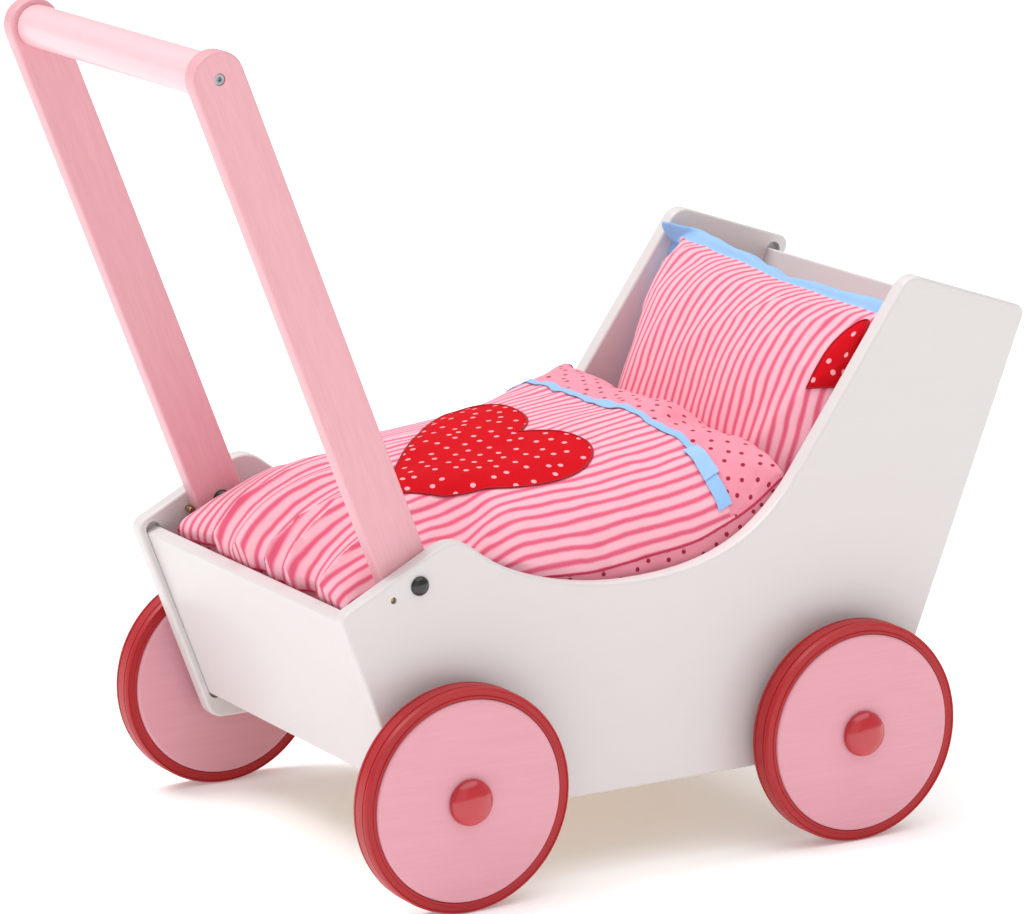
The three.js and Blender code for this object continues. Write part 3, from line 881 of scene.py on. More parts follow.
@dataclass
class Handle:
    """Two stained arms, the grip bar, its screws, and the dome caps and bolts of the pivots."""

    nodes: dict[str, bpy.types.Object]
    palette: Palette
    bar_radius: float = 13 * MM
    head_radius: float = 3.5 * MM
    head_height: float = 4 * MM
    shank_radius: float = 2 * MM
    socket_radius: float = 1.9 * MM
    socket_depth: float = 2.2 * MM

    def build(self) -> None:
        """Makes the handle and its pivots."""
        for side in Side:
            node = f"handle_arm_{side.label}"
            arm = refined_copy(self.nodes[node], f"{node}_stained")
            self.palette.dress(arm, "arm")
            place(arm, "handle", "pink_wood", node)
            self._screw(side)
            self._cap(side, "inner", "handle", -side.value)
            self._cap(side, "outer", "pram", side.value)
            self._bolt(side)
        self._bar()

    def _bar(self) -> None:
        """Turns the grip bar with eased ends."""
        low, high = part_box("handle_bar")
        centre, half = (low + high) / 2, (high.y - low.y) / 2
        ease = 0.6 * MM
        corners = [(0, -half, 0), (self.bar_radius, -half, ease), (self.bar_radius, half, ease), (0, half, 0)]
        bar = turned("handle_bar_turned", rounded(corners, 3), centre, 96)
        # The bar's finish is the arms' stain lightened as a painted highlight.
        self.palette.dress(bar, "bar")
        place(bar, "handle", "pink_wood", "handle_bar")

    def _screw(self, side: Side) -> None:
        """Makes a socket-head screw: a turned body and a six-sided socket inside its head."""
        node = f"bar_screw_{side.label}"
        low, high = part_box(node)
        out = side.value
        top = Vector(((low.x + high.x) / 2, high.y if out > 0 else low.y, (low.z + high.z) / 2))
        length = high.y - low.y
        corners = [
            (0, -length, 0),
            (self.shank_radius, -length, 0.5 * MM),
            (self.shank_radius, -self.head_height, 0),
            (self.head_radius, -self.head_height, 0),
            (self.head_radius, 0, 0.5 * MM),
            (self.socket_radius, 0, 0.2 * MM),
            (self.socket_radius, -self.socket_depth, 0),
            (0, -self.socket_depth, 0),
        ]
        section = [(radius, along * out) for radius, along in rounded(corners, 3)]
        body = turned(f"{node}_turned", section, top, 48)
        inner = self.socket_radius * 0.84
        walls = [
            (inner, -self.socket_depth * out),
            (self.socket_radius + 0.1 * MM, -self.socket_depth * out),
            (self.socket_radius + 0.1 * MM, -0.25 * MM * out),
            (inner, -0.25 * MM * out),
        ]
        socket = turned(f"{node}_socket", walls, top, 6, 20)
        pick(body)
        socket.select_set(True)
        bpy.ops.object.join()
        self.palette.dress(body, "steel")
        place(body, "handle", "steel", node)

    def _cap(self, side: Side, where: str, body: str, out: int) -> None:
        """Turns a black dome cap with a small flange."""
        node = f"pivot_{where}_cap_{side.label}"
        low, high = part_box(node)
        base = Vector(((low.x + high.x) / 2, low.y if out > 0 else high.y, (low.z + high.z) / 2))
        height, radius, flange = high.y - low.y, (high.x - low.x) / 2, 0.5 * MM
        section = [(0.0, 0.0), (radius, 0.0), (radius, flange * out)]
        for i in range(1, 13):
            turn = i / 12 * math.pi / 2
            reach = (radius - 0.3 * MM) * math.cos(turn) if i < 12 else 0.0
            section.append((reach, (flange + (height - flange) * math.sin(turn)) * out))
        cap = turned(f"{node}_domed", section, base, 48, 50)
        self.palette.dress(cap, "black")
        place(cap, body, "black_plastic", node)

    def _bolt(self, side: Side) -> None:
        """Turns the bolt that the arm turns on."""
        node = f"pivot_bolt_{side.label}"
        low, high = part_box(node)
        centre, half, radius = (low + high) / 2, (high.y - low.y) / 2, (high.x - low.x) / 2
        corners = [(0, -half, 0), (radius, -half, 0.5 * MM), (radius, half, 0.5 * MM), (0, half, 0)]
        bolt = turned(f"{node}_turned", rounded(corners, 2), centre, 32)
        self.palette.dress(bolt, "steel")
        place(bolt, "pram", "steel", node)


# ---------------------------------------------------------------- cloth


def bezier(points: Sequence[tuple[float, float]], shares: np.ndarray) -> np.ndarray:
    """Points on a cubic curve.

    Args:
        points: Its start, two handles and its end.
        shares: How far along each point lies, from 0 to 1.

    Returns:
        A row for each share.
    """
    t = shares[:, None]
    a, b, c, d = (np.array(point, float) for point in points)
    return a * (1 - t) ** 3 + b * 3 * t * (1 - t) ** 2 + c * 3 * t**2 * (1 - t) + d * t**3


def eased(knots: Sequence[tuple[float, float]], spots: np.ndarray, blur: float = 0.14) -> np.ndarray:
    """Reads a smooth curve through a few heights.

    Args:
        knots: (place, height) pairs, in millimetres.
        spots: Places in metres.
        blur: The width of the smoothing, as a share of the whole span.

    Returns:
        Heights in metres.
    """
    places = np.array([k[0] for k in knots]) * MM
    heights = np.array([k[1] for k in knots]) * MM
    fine = np.linspace(places[0], places[-1], 400)
    line = np.interp(fine, places, heights)
    width = max(3, int(400 * blur))
    kernel = np.hanning(width + 2)
    padded = np.concatenate([2 * line[0] - line[width:0:-1], line, 2 * line[-1] - line[-2 : -width - 2 : -1]])
    soft = np.convolve(padded, kernel / kernel.sum(), mode="same")[width : width + 400]
    return np.interp(spots, fine, soft)


def pillowcase(name: str, across: int, along: int) -> bpy.types.Object:
    """Makes two layers of cloth joined round their border, as a flat grid to be shaped.

    Args:
        name: The piece's name.
        across: Cells along its second direction.
        along: Cells along its first direction.

    Returns:
        The piece, with places from -1 to 1 in X and Y, and 0 or 1 in Z for its lower and upper layer.
    """
    bpy.ops.object.select_all(action="DESELECT")
    bpy.ops.mesh.primitive_grid_add(x_subdivisions=along, y_subdivisions=across, size=2)
    obj = finish_primitive(name)
    bpy.ops.object.mode_set(mode="EDIT")
    bpy.ops.mesh.select_all(action="SELECT")
    bpy.ops.mesh.extrude_region_move(TRANSFORM_OT_translate={"value": (0, 0, 1)})
    bpy.ops.mesh.select_all(action="SELECT")
    bpy.ops.mesh.normals_make_consistent(inside=False)
    bpy.ops.object.mode_set(mode="OBJECT")
    return obj


def lay_out_cloth(obj: bpy.types.Object, grid: np.ndarray, rows: np.ndarray) -> None:
    """Writes each point's distances along the cloth, from its middle line, as the piece's cloth layout.

    Args:
        obj: A shaped pillowcase.
        grid: Its points' places in the flat grid.
        rows: Its points' places now.
    """
    layout = np.zeros((len(rows), 2))
    first, second = np.unique(grid[:, 0].round(6)), np.unique(grid[:, 1].round(6))
    index = (np.searchsorted(first, grid[:, 0].round(6)), np.searchsorted(second, grid[:, 1].round(6)))
    for layer in (0, 1):
        chosen = np.abs(grid[:, 2] - layer) < 0.5
        spots = (index[0][chosen], index[1][chosen])
        places = np.zeros((len(first), len(second), 3))
        places[spots] = rows[chosen]
        for axis in (0, 1):
            steps = np.linalg.norm(np.diff(places, axis=axis), axis=2)
            gone = np.concatenate([np.zeros_like(np.take(steps, [0], axis)), np.cumsum(steps, axis)], axis)
            gone -= np.take(gone, [gone.shape[axis] // 2], axis)
            layout[chosen, axis] = gone[spots]
    write_layout(obj, layout)


def write_layout(obj: bpy.types.Object, layout: np.ndarray) -> None:
    """Stores a cloth layout, given point by point, as the piece's UV map."""
    layer = obj.data.uv_layers.new(name=CLOTH_UV)
    corners = np.zeros(len(obj.data.loops), int)
    obj.data.loops.foreach_get("vertex_index", corners)
    layer.data.foreach_set("uv", layout[corners].astype(np.float32).ravel())


def inflate(obj: bpy.types.Object, cap: float, growth: float, pressure: float = 4.0, frames: int = 20) -> None:
    """Stuffs a piece by cloth simulation, with slack cloth that buckles, and caps how far each point moves.

    Args:
        obj: The closed piece.
        cap: The most that a point may move.
        growth: How much larger the cloth is than the shape, as a share.
        pressure: The air pressure inside.
        frames: How many frames are simulated.
    """
    before = coordinates(obj)
    pick(obj)
    modifier = obj.modifiers.new("Cloth", "CLOTH")
    cloth = modifier.settings
    cloth.use_pressure = True
    cloth.uniform_pressure_force = pressure
    cloth.effector_weights.gravity = 0.0
    cloth.shrink_min = -growth
    cloth.bending_stiffness = 0.2
    cloth.quality = 6
    modifier.point_cache.frame_start = 1
    modifier.point_cache.frame_end = frames
    for frame in range(1, frames + 1):
        bpy.context.scene.frame_set(frame)
    pick(obj)
    bpy.ops.object.modifier_apply(modifier=modifier.name)
    bpy.context.scene.frame_set(1)
    moved = coordinates(obj) - before
    far = np.linalg.norm(moved, axis=1)
    share = cap * np.tanh(far / cap) / np.maximum(far, 1e-9)
    set_coordinates(obj, before + moved * share[:, None])
    log.info("%s: cloth moved up to %.1f mm", obj.name, far.max() / MM)


def ridges(spots: np.ndarray, stretch: tuple[float, float, float], seed: float) -> np.ndarray:
    """Soft folds from -1 to 1, from smooth noise that is drawn out in one direction.

    Args:
        spots: Places in metres.
        stretch: How many folds there are in a metre, along each axis.
        seed: Moves the pattern, so that no two pieces share one.

    Returns:
        The folds' heights.
    """
    scaled = spots * np.array(stretch) + seed
    return np.array([noise.noise(Vector(row)) for row in scaled])


def displace(obj: bpy.types.Object, height: Callable[[np.ndarray], np.ndarray]) -> None:
    """Moves each point along its normal by a height that depends on its place."""
    rows = coordinates(obj)
    set_coordinates(obj, rows + vertex_normals(obj) * height(rows)[:, None])


def border_line(obj: bpy.types.Object, slot: int) -> np.ndarray:
    """The closed line between the faces of one material slot and all others.

    Args:
        obj: The piece.
        slot: The slot's number.

    Returns:
        The line's points, with the first repeated at its end.
    """
    uses: dict[tuple[int, int], set[bool]] = {}
    for face in obj.data.polygons:
        for key in face.edge_keys:
            uses.setdefault(key, set()).add(face.material_index == slot)
    ahead: dict[int, list[int]] = {}
    for (first, second), kinds in uses.items():
        if len(kinds) == 2:
            ahead.setdefault(first, []).append(second)
            ahead.setdefault(second, []).append(first)
    line = [min(ahead)]
    came_from = -1
    while len(line) < 2 or line[-1] != line[0]:
        step = next(n for n in ahead[line[-1]] if n != came_from)
        came_from = line[-1]
        line.append(step)
    return np.array([obj.data.vertices[i].co for i in line])


@dataclass
class Surface:
    """A finished piece that trimmings are laid on."""

    obj: bpy.types.Object

    def __post_init__(self) -> None:
        """Builds the search tree."""
        mesh = self.obj.data
        rows = [v.co.copy() for v in mesh.vertices]
        self.tree = BVHTree.FromPolygons(rows, [tuple(p.vertices) for p in mesh.polygons])

    def lay(self, spots: np.ndarray, towards: Vector, lift: np.ndarray | float) -> np.ndarray:
        """Drops points onto the piece.

        Args:
            spots: Places outside the piece.
            towards: The direction in which they drop.
            lift: How far off the surface each one ends.

        Returns:
            The points on the piece. One that misses goes to the nearest place at the last depth.
        """
        lifts = np.broadcast_to(np.asarray(lift, float), (len(spots),))
        laid, reach = [], 0.0
        for spot, height in zip(spots, lifts):
            found = self.tree.ray_cast(Vector(spot), towards)
            if found[0] is None:
                found = self.tree.find_nearest(Vector(spot) + towards * reach)
            else:
                reach = found[3]
            laid.append(found[0] + found[1] * height)
        return np.array(laid)


class Lobe(Enum):
    """Half a heart as two curves, in shares of its length: cleft to widest place, and on to the tip."""

    ROUND = (((1.0, 0.0), (1.18, 0.24), (1.06, 0.58), (0.79, 0.57)), ((0.79, 0.57), (0.49, 0.57), (0.22, 0.32), (0.0, 0.0)))
    LONG = (((1.0, 0.0), (1.3, 0.05), (1.5, 0.72), (1.2, 0.68)), ((1.2, 0.68), (0.95, 0.6), (0.3, 0.17), (0.0, 0.0)))
    PLAIN = (((1.0, 0.0), (1.2, 0.1), (1.3, 0.66), (0.95, 0.62)), ((0.95, 0.62), (0.7, 0.6), (0.3, 0.17), (0.0, 0.0)))


@dataclass
class Heart:
    """A padded heart sewn on a cover, with a satin-stitched border."""

    name: str
    tip: tuple[float, float]
    turn: float
    length: float
    left: Lobe = Lobe.PLAIN
    right: Lobe = Lobe.PLAIN
    rings: int = 16
    around: int = 96
    puff: float = 1.6 * MM
    stitch: float = 0.75 * MM

    def outline(self, turns: np.ndarray) -> np.ndarray:
        """Points of the heart's edge, from its cleft round one lobe to its tip and back round the other.

        Args:
            turns: How far round each point lies, from 0 to a full turn.

        Returns:
            Distances from the tip towards the cleft, and across.
        """
        way = turns / math.pi
        half = np.where(way <= 1, way, 2 - way)
        sides = []
        for lobe, sign in ((self.left, 1.0), (self.right, -1.0)):
            upper = bezier(lobe.value[0], np.clip(half / 0.55, 0, 1))
            lower = bezier(lobe.value[1], np.clip((half - 0.55) / 0.45, 0, 1))
            sides.append(np.where(half[:, None] < 0.55, upper, lower) * (self.length, sign * self.length))
        return np.where(way[:, None] <= 1, sides[0], sides[1])

    def flat(self, local: np.ndarray) -> np.ndarray:
        """Turns distances from the tip into places on the cover's plane."""
        cos, sin = math.cos(self.turn), math.sin(self.turn)
        return np.stack(
            [
                self.tip[0] + local[:, 0] * cos - local[:, 1] * sin,
                self.tip[1] + local[:, 0] * sin + local[:, 1] * cos,
            ],
            axis=1,
        )

    def build(
        self, surface: Surface, lift_out: Callable[[np.ndarray], np.ndarray], towards: Vector
    ) -> tuple[bpy.types.Object, bpy.types.Object]:
        """Makes the heart and its border on a piece.

        Args:
            surface: What the heart is sewn on.
            lift_out: Turns places on the cover's plane into points outside the piece.
            towards: The direction from those points to the piece.

        Returns:
            The heart and its stitched border.
        """
        bpy.ops.object.select_all(action="DESELECT")
        bpy.ops.mesh.primitive_grid_add(x_subdivisions=self.around, y_subdivisions=self.rings, size=2)
        heart = finish_primitive(self.name)
        grid = coordinates(heart)
        turns = (grid[:, 0] + 1) / 2 * math.tau
        reach = (grid[:, 1] + 1) / 2
        middle = np.array((self.length * 0.66, 0.0))
        local = middle + (self.outline(turns) - middle) * reach[:, None]
        lift = 0.5 * MM + self.puff * (1 - reach**5)
        set_coordinates(heart, surface.lay(lift_out(self.flat(local)), towards, lift))
        write_layout(heart, local)
        bpy.ops.object.mode_set(mode="EDIT")
        bpy.ops.mesh.select_all(action="SELECT")
        bpy.ops.mesh.remove_doubles(threshold=1e-5)
        bpy.ops.mesh.normals_make_consistent(inside=False)
        bpy.ops.object.mode_set(mode="OBJECT")
        self._face_out(heart, towards)
        apply_modifier(heart, "SOLIDIFY", thickness=0.7 * MM, offset=-1.0)
        smooth(heart, 60)
        edge = np.linspace(0, math.tau, 161)
        line = surface.lay(lift_out(self.flat(self.outline(edge))), towards, 0.7 * MM)
        line[-1] = line[0]
        border = tube_along(f"{self.name}_border", line, self.stitch, 8, 0.75)
        write_layout(border, coordinates(border)[:, :2])
        return heart, border

    def _face_out(self, obj: bpy.types.Object, towards: Vector) -> None:
        """Turns the sheet over if it faces the piece that it lies on."""
        facing = sum((p.normal * p.area for p in obj.data.polygons), Vector())
        if facing.dot(towards) > 0:
            obj.data.flip_normals()


@dataclass
class Duvet:
    """The striped duvet with its dotted head band, wavy ribbon, blank tab and heart. Heights are in millimetres."""

    palette: Palette
    across: int = 76
    along: int = 92
    foot_x: float = -184 * MM
    head_x: float = 115 * MM
    waist: float = 111 * MM
    full: float = 129.5 * MM
    band_x: float = 67 * MM
    ribbon_width: float = 9.5 * MM
    middle: tuple = ((-184, 192), (-165, 212), (-130, 228), (-70, 237), (0, 243), (60, 251), (95, 256), (115, 252))
    far_edge: tuple = ((-184, 187), (-100, 200), (-40, 203), (20, 217), (70, 241), (115, 254))
    near_edge: tuple = ((-184, 181), (-100, 189), (-20, 185), (50, 194), (90, 211), (115, 230))

    def build(self) -> None:
        """Makes the duvet and everything sewn on it."""
        self.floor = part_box("mattress")[1].z + 0.6 * MM
        obj = pillowcase("duvet_cover", self.across, self.along)
        grid = coordinates(obj)
        rows = self._shape(grid)
        set_coordinates(obj, rows)
        lay_out_cloth(obj, grid, rows)
        self._print(obj, grid)
        inflate(obj, 5 * MM, 0.05)
        self._keep_in(obj)
        apply_modifier(obj, "SUBSURF", levels=1, render_levels=1)
        displace(obj, self._folds)
        self._keep_in(obj)
        smooth(obj, 80)
        place(obj, "duvet", "duvet_cotton", "duvet")
        self._seam(obj)
        surface = Surface(obj)
        self._ribbon(surface)
        self._tab(surface)
        heart = Heart("duvet_heart", (-122 * MM, -42 * MM), math.radians(17.7), 127 * MM, Lobe.LONG, Lobe.ROUND)
        pieces = heart.build(surface, lambda flat: np.column_stack([flat, np.full(len(flat), 0.35)]), Vector((0, 0, -1)))
        for piece, finish in zip(pieces, ("heart", "stitch")):
            self.palette.dress(piece, finish)
            place(piece, "duvet", "duvet_cotton")

    def _half_width(self, x: np.ndarray) -> np.ndarray:
        """Half the duvet's width: narrow between the handle's arms, full beyond them."""
        share = np.clip((x + 100 * MM) / (38 * MM), 0, 1)
        return self.waist + (self.full - self.waist) * share * share * (3 - 2 * share)

    def _shape(self, grid: np.ndarray) -> np.ndarray:
        """Shapes the flat grid into the stuffed duvet that fills the tub.

        Args:
            grid: Places in the flat grid.

        Returns:
            Places in the pram.
        """
        bend = math.radians(77)
        share = (np.sin(grid[:, 0] * bend) / math.sin(bend) + 1) / 2
        x = self.foot_x + (self.head_x - self.foot_x) * share
        side = np.sin(grid[:, 1] * math.pi / 2)
        y = side * self._half_width(x)
        crown = eased(self.middle, x)
        edge = np.where(y > 0, eased(self.far_edge, x), eased(self.near_edge, x))
        rise = np.maximum(1 - np.abs(side) ** 2.4, 0) ** 0.55
        ends = np.minimum((1 - np.abs(grid[:, 0])) / 0.12, 1)
        roll = np.sqrt(np.clip(1 - (1 - ends) ** 2, 0, 1))
        seam_drop = 12 * MM * (1 - roll)
        top = edge + (crown - edge) * rise - seam_drop
        seam = edge - 0.5 * MM - seam_drop
        under = seam - (seam - self.floor) * np.minimum(rise * 1.6, 1) * roll
        z = np.where(grid[:, 2] > 0.5, np.maximum(top, seam + 1 * MM), under)
        return np.stack([x, y, z], axis=1)

    def _keep_in(self, obj: bpy.types.Object) -> None:
        """Presses the duvet flat where it meets the boards, the panels, the arms, the mattress and the pillow."""
        rows = coordinates(obj)
        board_low, board_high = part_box("foot_board")
        slant = (board_high.x - 9.5 * MM - board_low.x) / (board_high.z - board_low.z)
        wall = board_high.x - slant * (rows[:, 2] - board_low.z) + 1.2 * MM
        rows[:, 0] = np.clip(rows[:, 0], wall, 117 * MM)
        width = self._half_width(rows[:, 0])
        rows[:, 1] = np.clip(rows[:, 1], -width, width)
        rows[:, 2] = np.maximum(rows[:, 2], self.floor)
        set_coordinates(obj, rows)

    def _folds(self, rows: np.ndarray) -> np.ndarray:
        """Folds of the cover: gathers at the foot, puckers along the ribbon and slow waves all over.

        Args:
            rows: Places on the duvet.

        Returns:
            How far each place stands out.
        """
        x, y = rows[:, 0], rows[:, 1]
        foot = np.exp(-((x - self.foot_x) / (58 * MM)))
        ribbon = np.exp(-(((x - self.band_x) / (22 * MM)) ** 2))
        head = np.exp(-((self.head_x - x) / (20 * MM)))
        fan = np.stack([x, y * (1 + 3.2 * (x - self.foot_x)), rows[:, 2] * 0.3], axis=1)
        gathers = 1 - 2.4 * np.sqrt(np.abs(ridges(fan, (6, 27, 8), 3.7)) + 0.01)
        puckers = ridges(rows, (14, 66, 20), 9.1)
        waves = ridges(rows, (9, 24, 12), 21.3)
        slow = ridges(rows, (11, 11, 11), 5.5)
        near = np.clip(-y / self.full, 0, 1) ** 3
        droops = ridges(rows, (48, 10, 10), 14.9)
        return (
            9.5 * MM * foot * gathers
            + 2.8 * MM * ribbon * puckers
            + 1.6 * MM * head * puckers
            + 2.2 * MM * waves
            + 2.6 * MM * slow
            + 2.2 * MM * near * droops
        )

    def _print(self, obj: bpy.types.Object, grid: np.ndarray) -> None:
        """Gives the top its stripes and its dotted head band, and the underside its dots.

        Args:
            obj: The shaped cover.
            grid: Its points' places in the flat grid.
        """
        self.palette.dress(obj, "stripes", "band", "band")
        for face in obj.data.polygons:
            on_top = grid[list(face.vertices), 2].mean() > 0.75
            in_band = face.center.x > self._band_line(np.array(face.center.y))
            face.material_index = 2 if not on_top else int(in_band)

    def _seam(self, obj: bpy.types.Object) -> None:
        """Runs a cord along the seam between the top and the underside."""
        cord = tube_along("duvet_seam", border_line(obj, 2), 0.8 * MM, 6)
        write_layout(cord, coordinates(cord)[:, :2])
        self.palette.dress(cord, "seam")
        place(cord, "duvet", "duvet_cotton")

    def _band_line(self, y: np.ndarray) -> np.ndarray:
        """X of the ribbon's middle line, which bends towards the head end on the near side."""
        return self.band_x + 9 * MM * np.clip(-y / self.full, 0, 1) ** 2

    def _ribbon(self, surface: Surface) -> None:
        """Lays the wavy blue ribbon along the edge of the head band."""
        count = 220
        bpy.ops.object.select_all(action="DESELECT")
        bpy.ops.mesh.primitive_grid_add(x_subdivisions=4, y_subdivisions=count, size=2)
        ribbon = finish_primitive("duvet_ribbon")
        grid = coordinates(ribbon)
        y = grid[:, 1] * (self.full - 4 * MM)
        wave = 1.7 * MM * np.sin(y / (11 * MM)) * np.sin(y / (37 * MM) + 0.6)
        ripple = 0.5 * MM * np.sin(y / (3.1 * MM))
        pinch = 0.68 + 0.32 * np.sin(y / (14 * MM) + 1.2) * np.cos(y / (41 * MM))
        middle = self._band_line(y) + wave
        x = middle + grid[:, 0] * (self.ribbon_width / 2 * pinch + ripple * 0.4)
        lift = 0.9 * MM + 0.5 * MM * np.abs(np.sin(y / (8.5 * MM)))
        spots = np.stack([x, y, np.full(len(y), 0.35)], axis=1)
        rows = surface.lay(spots, Vector((0, 0, -1)), lift)
        set_coordinates(ribbon, rows)
        write_layout(ribbon, np.stack([x, y], axis=1))
        if sum(p.normal.z for p in ribbon.data.polygons) < 0:
            ribbon.data.flip_normals()
        apply_modifier(ribbon, "SOLIDIFY", thickness=0.6 * MM, offset=-1.0)
        smooth(ribbon, 60)
        self.palette.dress(ribbon, "blue")
        place(ribbon, "duvet", "duvet_cotton")

    def _tab(self, surface: Surface) -> None:
        """Lays a blank folded tab across the ribbon near its end."""
        bpy.ops.object.select_all(action="DESELECT")
        bpy.ops.mesh.primitive_grid_add(x_subdivisions=8, y_subdivisions=16, size=2)
        tab = finish_primitive("duvet_blank_tab")
        grid = coordinates(tab)
        y = -101 * MM + grid[:, 1] * 11 * MM
        x = self._band_line(y) + grid[:, 0] * 5.2 * MM
        spots = np.stack([x, y, np.full(len(y), 0.35)], axis=1)
        set_coordinates(tab, surface.lay(spots, Vector((0, 0, -1)), 1.9 * MM))
        write_layout(tab, np.stack([x, y], axis=1))
        if sum(p.normal.z for p in tab.data.polygons) < 0:
            tab.data.flip_normals()
        apply_modifier(tab, "SOLIDIFY", thickness=0.7 * MM, offset=-1.0)
        smooth(tab, 60)
        self.palette.dress(tab, "tab")
        place(tab, "duvet", "duvet_cotton")


@dataclass
class Pillow:
    """The striped pillow with its blue hem and heart, leaning back towards the head board."""

    palette: Palette
    across: int = 70
    along: int = 60
    half_width: float = 129 * MM
    top_seam: tuple = ((-129, 88), (-60, 88), (0, 91), (60, 96), (105, 102), (129, 103))
    hem_rows: dict = field(default_factory=lambda: {"top": 3, "bottom": 3, "left": 4, "right": 1})
    front: float = 44 * MM
    back: float = 46 * MM
    flare: float = 13 * MM
    lean: float = math.radians(18.5)

    def build(self) -> None:
        """Makes the pillow and its heart."""
        low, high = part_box("pillow")
        self.centre = Vector((170.8 * MM, 0, (low.z + high.z) / 2))
        self.half_height = (high.z - low.z) / 2 / math.cos(self.lean) - 0.5 * MM
        self.up = Vector((math.sin(self.lean), 0, math.cos(self.lean)))
        self.out = Vector((-math.cos(self.lean), 0, math.sin(self.lean)))
        obj = pillowcase("pillow_cover", self.across, self.along)
        grid = coordinates(obj)
        rows = self._shape(grid)
        set_coordinates(obj, rows)
        lay_out_cloth(obj, grid, rows)
        self._print(obj, grid)
        inflate(obj, 5 * MM, 0.05)
        apply_modifier(obj, "SUBSURF", levels=1, render_levels=1)
        displace(obj, self._folds)
        self._keep_in(obj)
        smooth(obj, 80)
        place(obj, "pillow", "pillow_cotton", "pillow")
        heart = Heart("pillow_heart", (25 * MM, -114 * MM), math.radians(-38), 41 * MM, rings=12, around=72)
        pieces = heart.build(Surface(obj), self._in_front, -self.out)
        for piece, finish in zip(pieces, ("heart", "stitch")):
            self.palette.dress(piece, finish)
            place(piece, "pillow", "pillow_cotton")

    def _in_front(self, flat: np.ndarray) -> np.ndarray:
        """Places in front of the pillow, from places up it and along its cloth from side to side."""
        line = np.linspace(-1, 1, 201)
        rows = self._shape(np.column_stack([np.full(201, 0.45), line, np.ones(201)]))
        gone = np.concatenate([[0.0], np.cumsum(np.linalg.norm(np.diff(rows, axis=0), axis=1))])
        far, soft, room = np.abs(flat[:, 1]), 118 * MM, 26 * MM
        squeezed = np.where(far > soft, soft + room * np.tanh((far - soft) / room), far)
        across = np.interp(np.sign(flat[:, 1]) * squeezed, gone - gone[100], rows[:, 1])
        base = np.array(self.centre) + np.array(self.out) * 0.12
        return base + flat[:, :1] * np.array(self.up) + across[:, None] * np.array((0.0, 1.0, 0.0))

    def _from_middle(self, grid: np.ndarray) -> tuple[np.ndarray, np.ndarray]:
        """How far each point lies from the middle towards the hem's inner edge, up and across, at 1 on it.

        Args:
            grid: Places in the flat grid: up in X, across in Y.

        Returns:
            The two shares, which pass 1 on the hem.
        """
        rows, step_up, step_across = self.hem_rows, 2 / self.along, 2 / self.across
        up_reach = np.where(grid[:, 0] > 0, 1 - rows["top"] * step_up, 1 - rows["bottom"] * step_up)
        across_reach = np.where(grid[:, 1] > 0, 1 - rows["left"] * step_across, 1 - rows["right"] * step_across)
        return np.abs(grid[:, 0]) / up_reach, np.abs(grid[:, 1]) / across_reach

    def _shape(self, grid: np.ndarray) -> np.ndarray:
        """Shapes the flat grid into a crowned cushion with a flat hem, which flares forward at its top corner.

        Args:
            grid: Places in the flat grid: up in X, across in Y.

        Returns:
            Places in the pram.
        """
        across = grid[:, 1] * self.half_width
        up = grid[:, 0] * np.where(grid[:, 0] > 0, eased(self.top_seam, across), self.half_height)
        t_up, t_across = self._from_middle(grid)
        crown = (1 - np.clip(t_up, 0, 1) ** 2.8) ** 0.6 * (1 - np.clip(t_across, 0, 1) ** 4.5) ** 0.55
        hem = 0.9 * MM
        depth = np.where(grid[:, 2] > 0.5, hem + self.front * crown, -hem - self.back * crown)
        high = np.clip(grid[:, 0], 0, 1) ** 1.5
        depth += self.flare * high * np.clip((t_across - 0.93) / 0.19, 0, 1) * (grid[:, 1] > 0)
        depth += 0.3 * self.flare * np.clip(grid[:, 1], 0, 1) ** 2 * np.clip((t_up - 0.93) / 0.17, 0, 1) * (grid[:, 0] > 0)
        centre, up_axis, out = np.array(self.centre), np.array(self.up), np.array(self.out)
        wide = np.array((0.0, 1.0, 0.0))
        return centre + up[:, None] * up_axis + across[:, None] * wide + depth[:, None] * out

    def _print(self, obj: bpy.types.Object, grid: np.ndarray) -> None:
        """Gives the hem its blue cloth and the rest its stripes."""
        self.palette.dress(obj, "stripes", "blue")
        for face in obj.data.polygons:
            middle = grid[list(face.vertices)].mean(axis=0, keepdims=True)
            face.material_index = int(max(self._from_middle(middle))[0] > 1)

    def _folds(self, rows: np.ndarray) -> np.ndarray:
        """Gathers by the hem and soft slanting folds over the crown.

        Args:
            rows: Places on the pillow.

        Returns:
            How far each place stands out.
        """
        local = rows - np.array(self.centre)
        up = local @ np.array(self.up)
        across = local[:, 1]
        from_hem = np.minimum(eased(self.top_seam, across) - 10 * MM - np.abs(up), self.half_width - np.abs(across))
        gathers = np.exp(-((np.maximum(from_hem, 0) / (34 * MM)) ** 2))
        slanted = np.stack([up - 0.5 * across, across + 0.6 * up, np.zeros_like(up)], axis=1)
        creases = 1 - 2.2 * np.sqrt(np.abs(ridges(slanted, (13, 26, 1), 2.9)) + 0.015)
        fine = ridges(slanted, (12, 58, 1), 7.7)
        slow = ridges(slanted, (10, 17, 1), 8.4)
        calm = np.clip(from_hem / (9 * MM), 0.25, 1)
        return calm * MM * (2.6 * gathers * creases + 1.6 * gathers * fine + 3.0 * slow + 0.8 * fine)

    def _keep_in(self, obj: bpy.types.Object) -> None:
        """Presses the pillow flat where it meets the panels and the mattress, and keeps its front behind the duvet's
        head end.
        """
        rows = coordinates(obj)
        rows[:, 1] = np.clip(rows[:, 1], -130 * MM, 130 * MM)
        rows[:, 2] = np.maximum(rows[:, 2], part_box("mattress")[1].z + 0.8 * MM)
        rows[:, 0] = np.maximum(rows[:, 0], 117.5 * MM)
        set_coordinates(obj, rows)


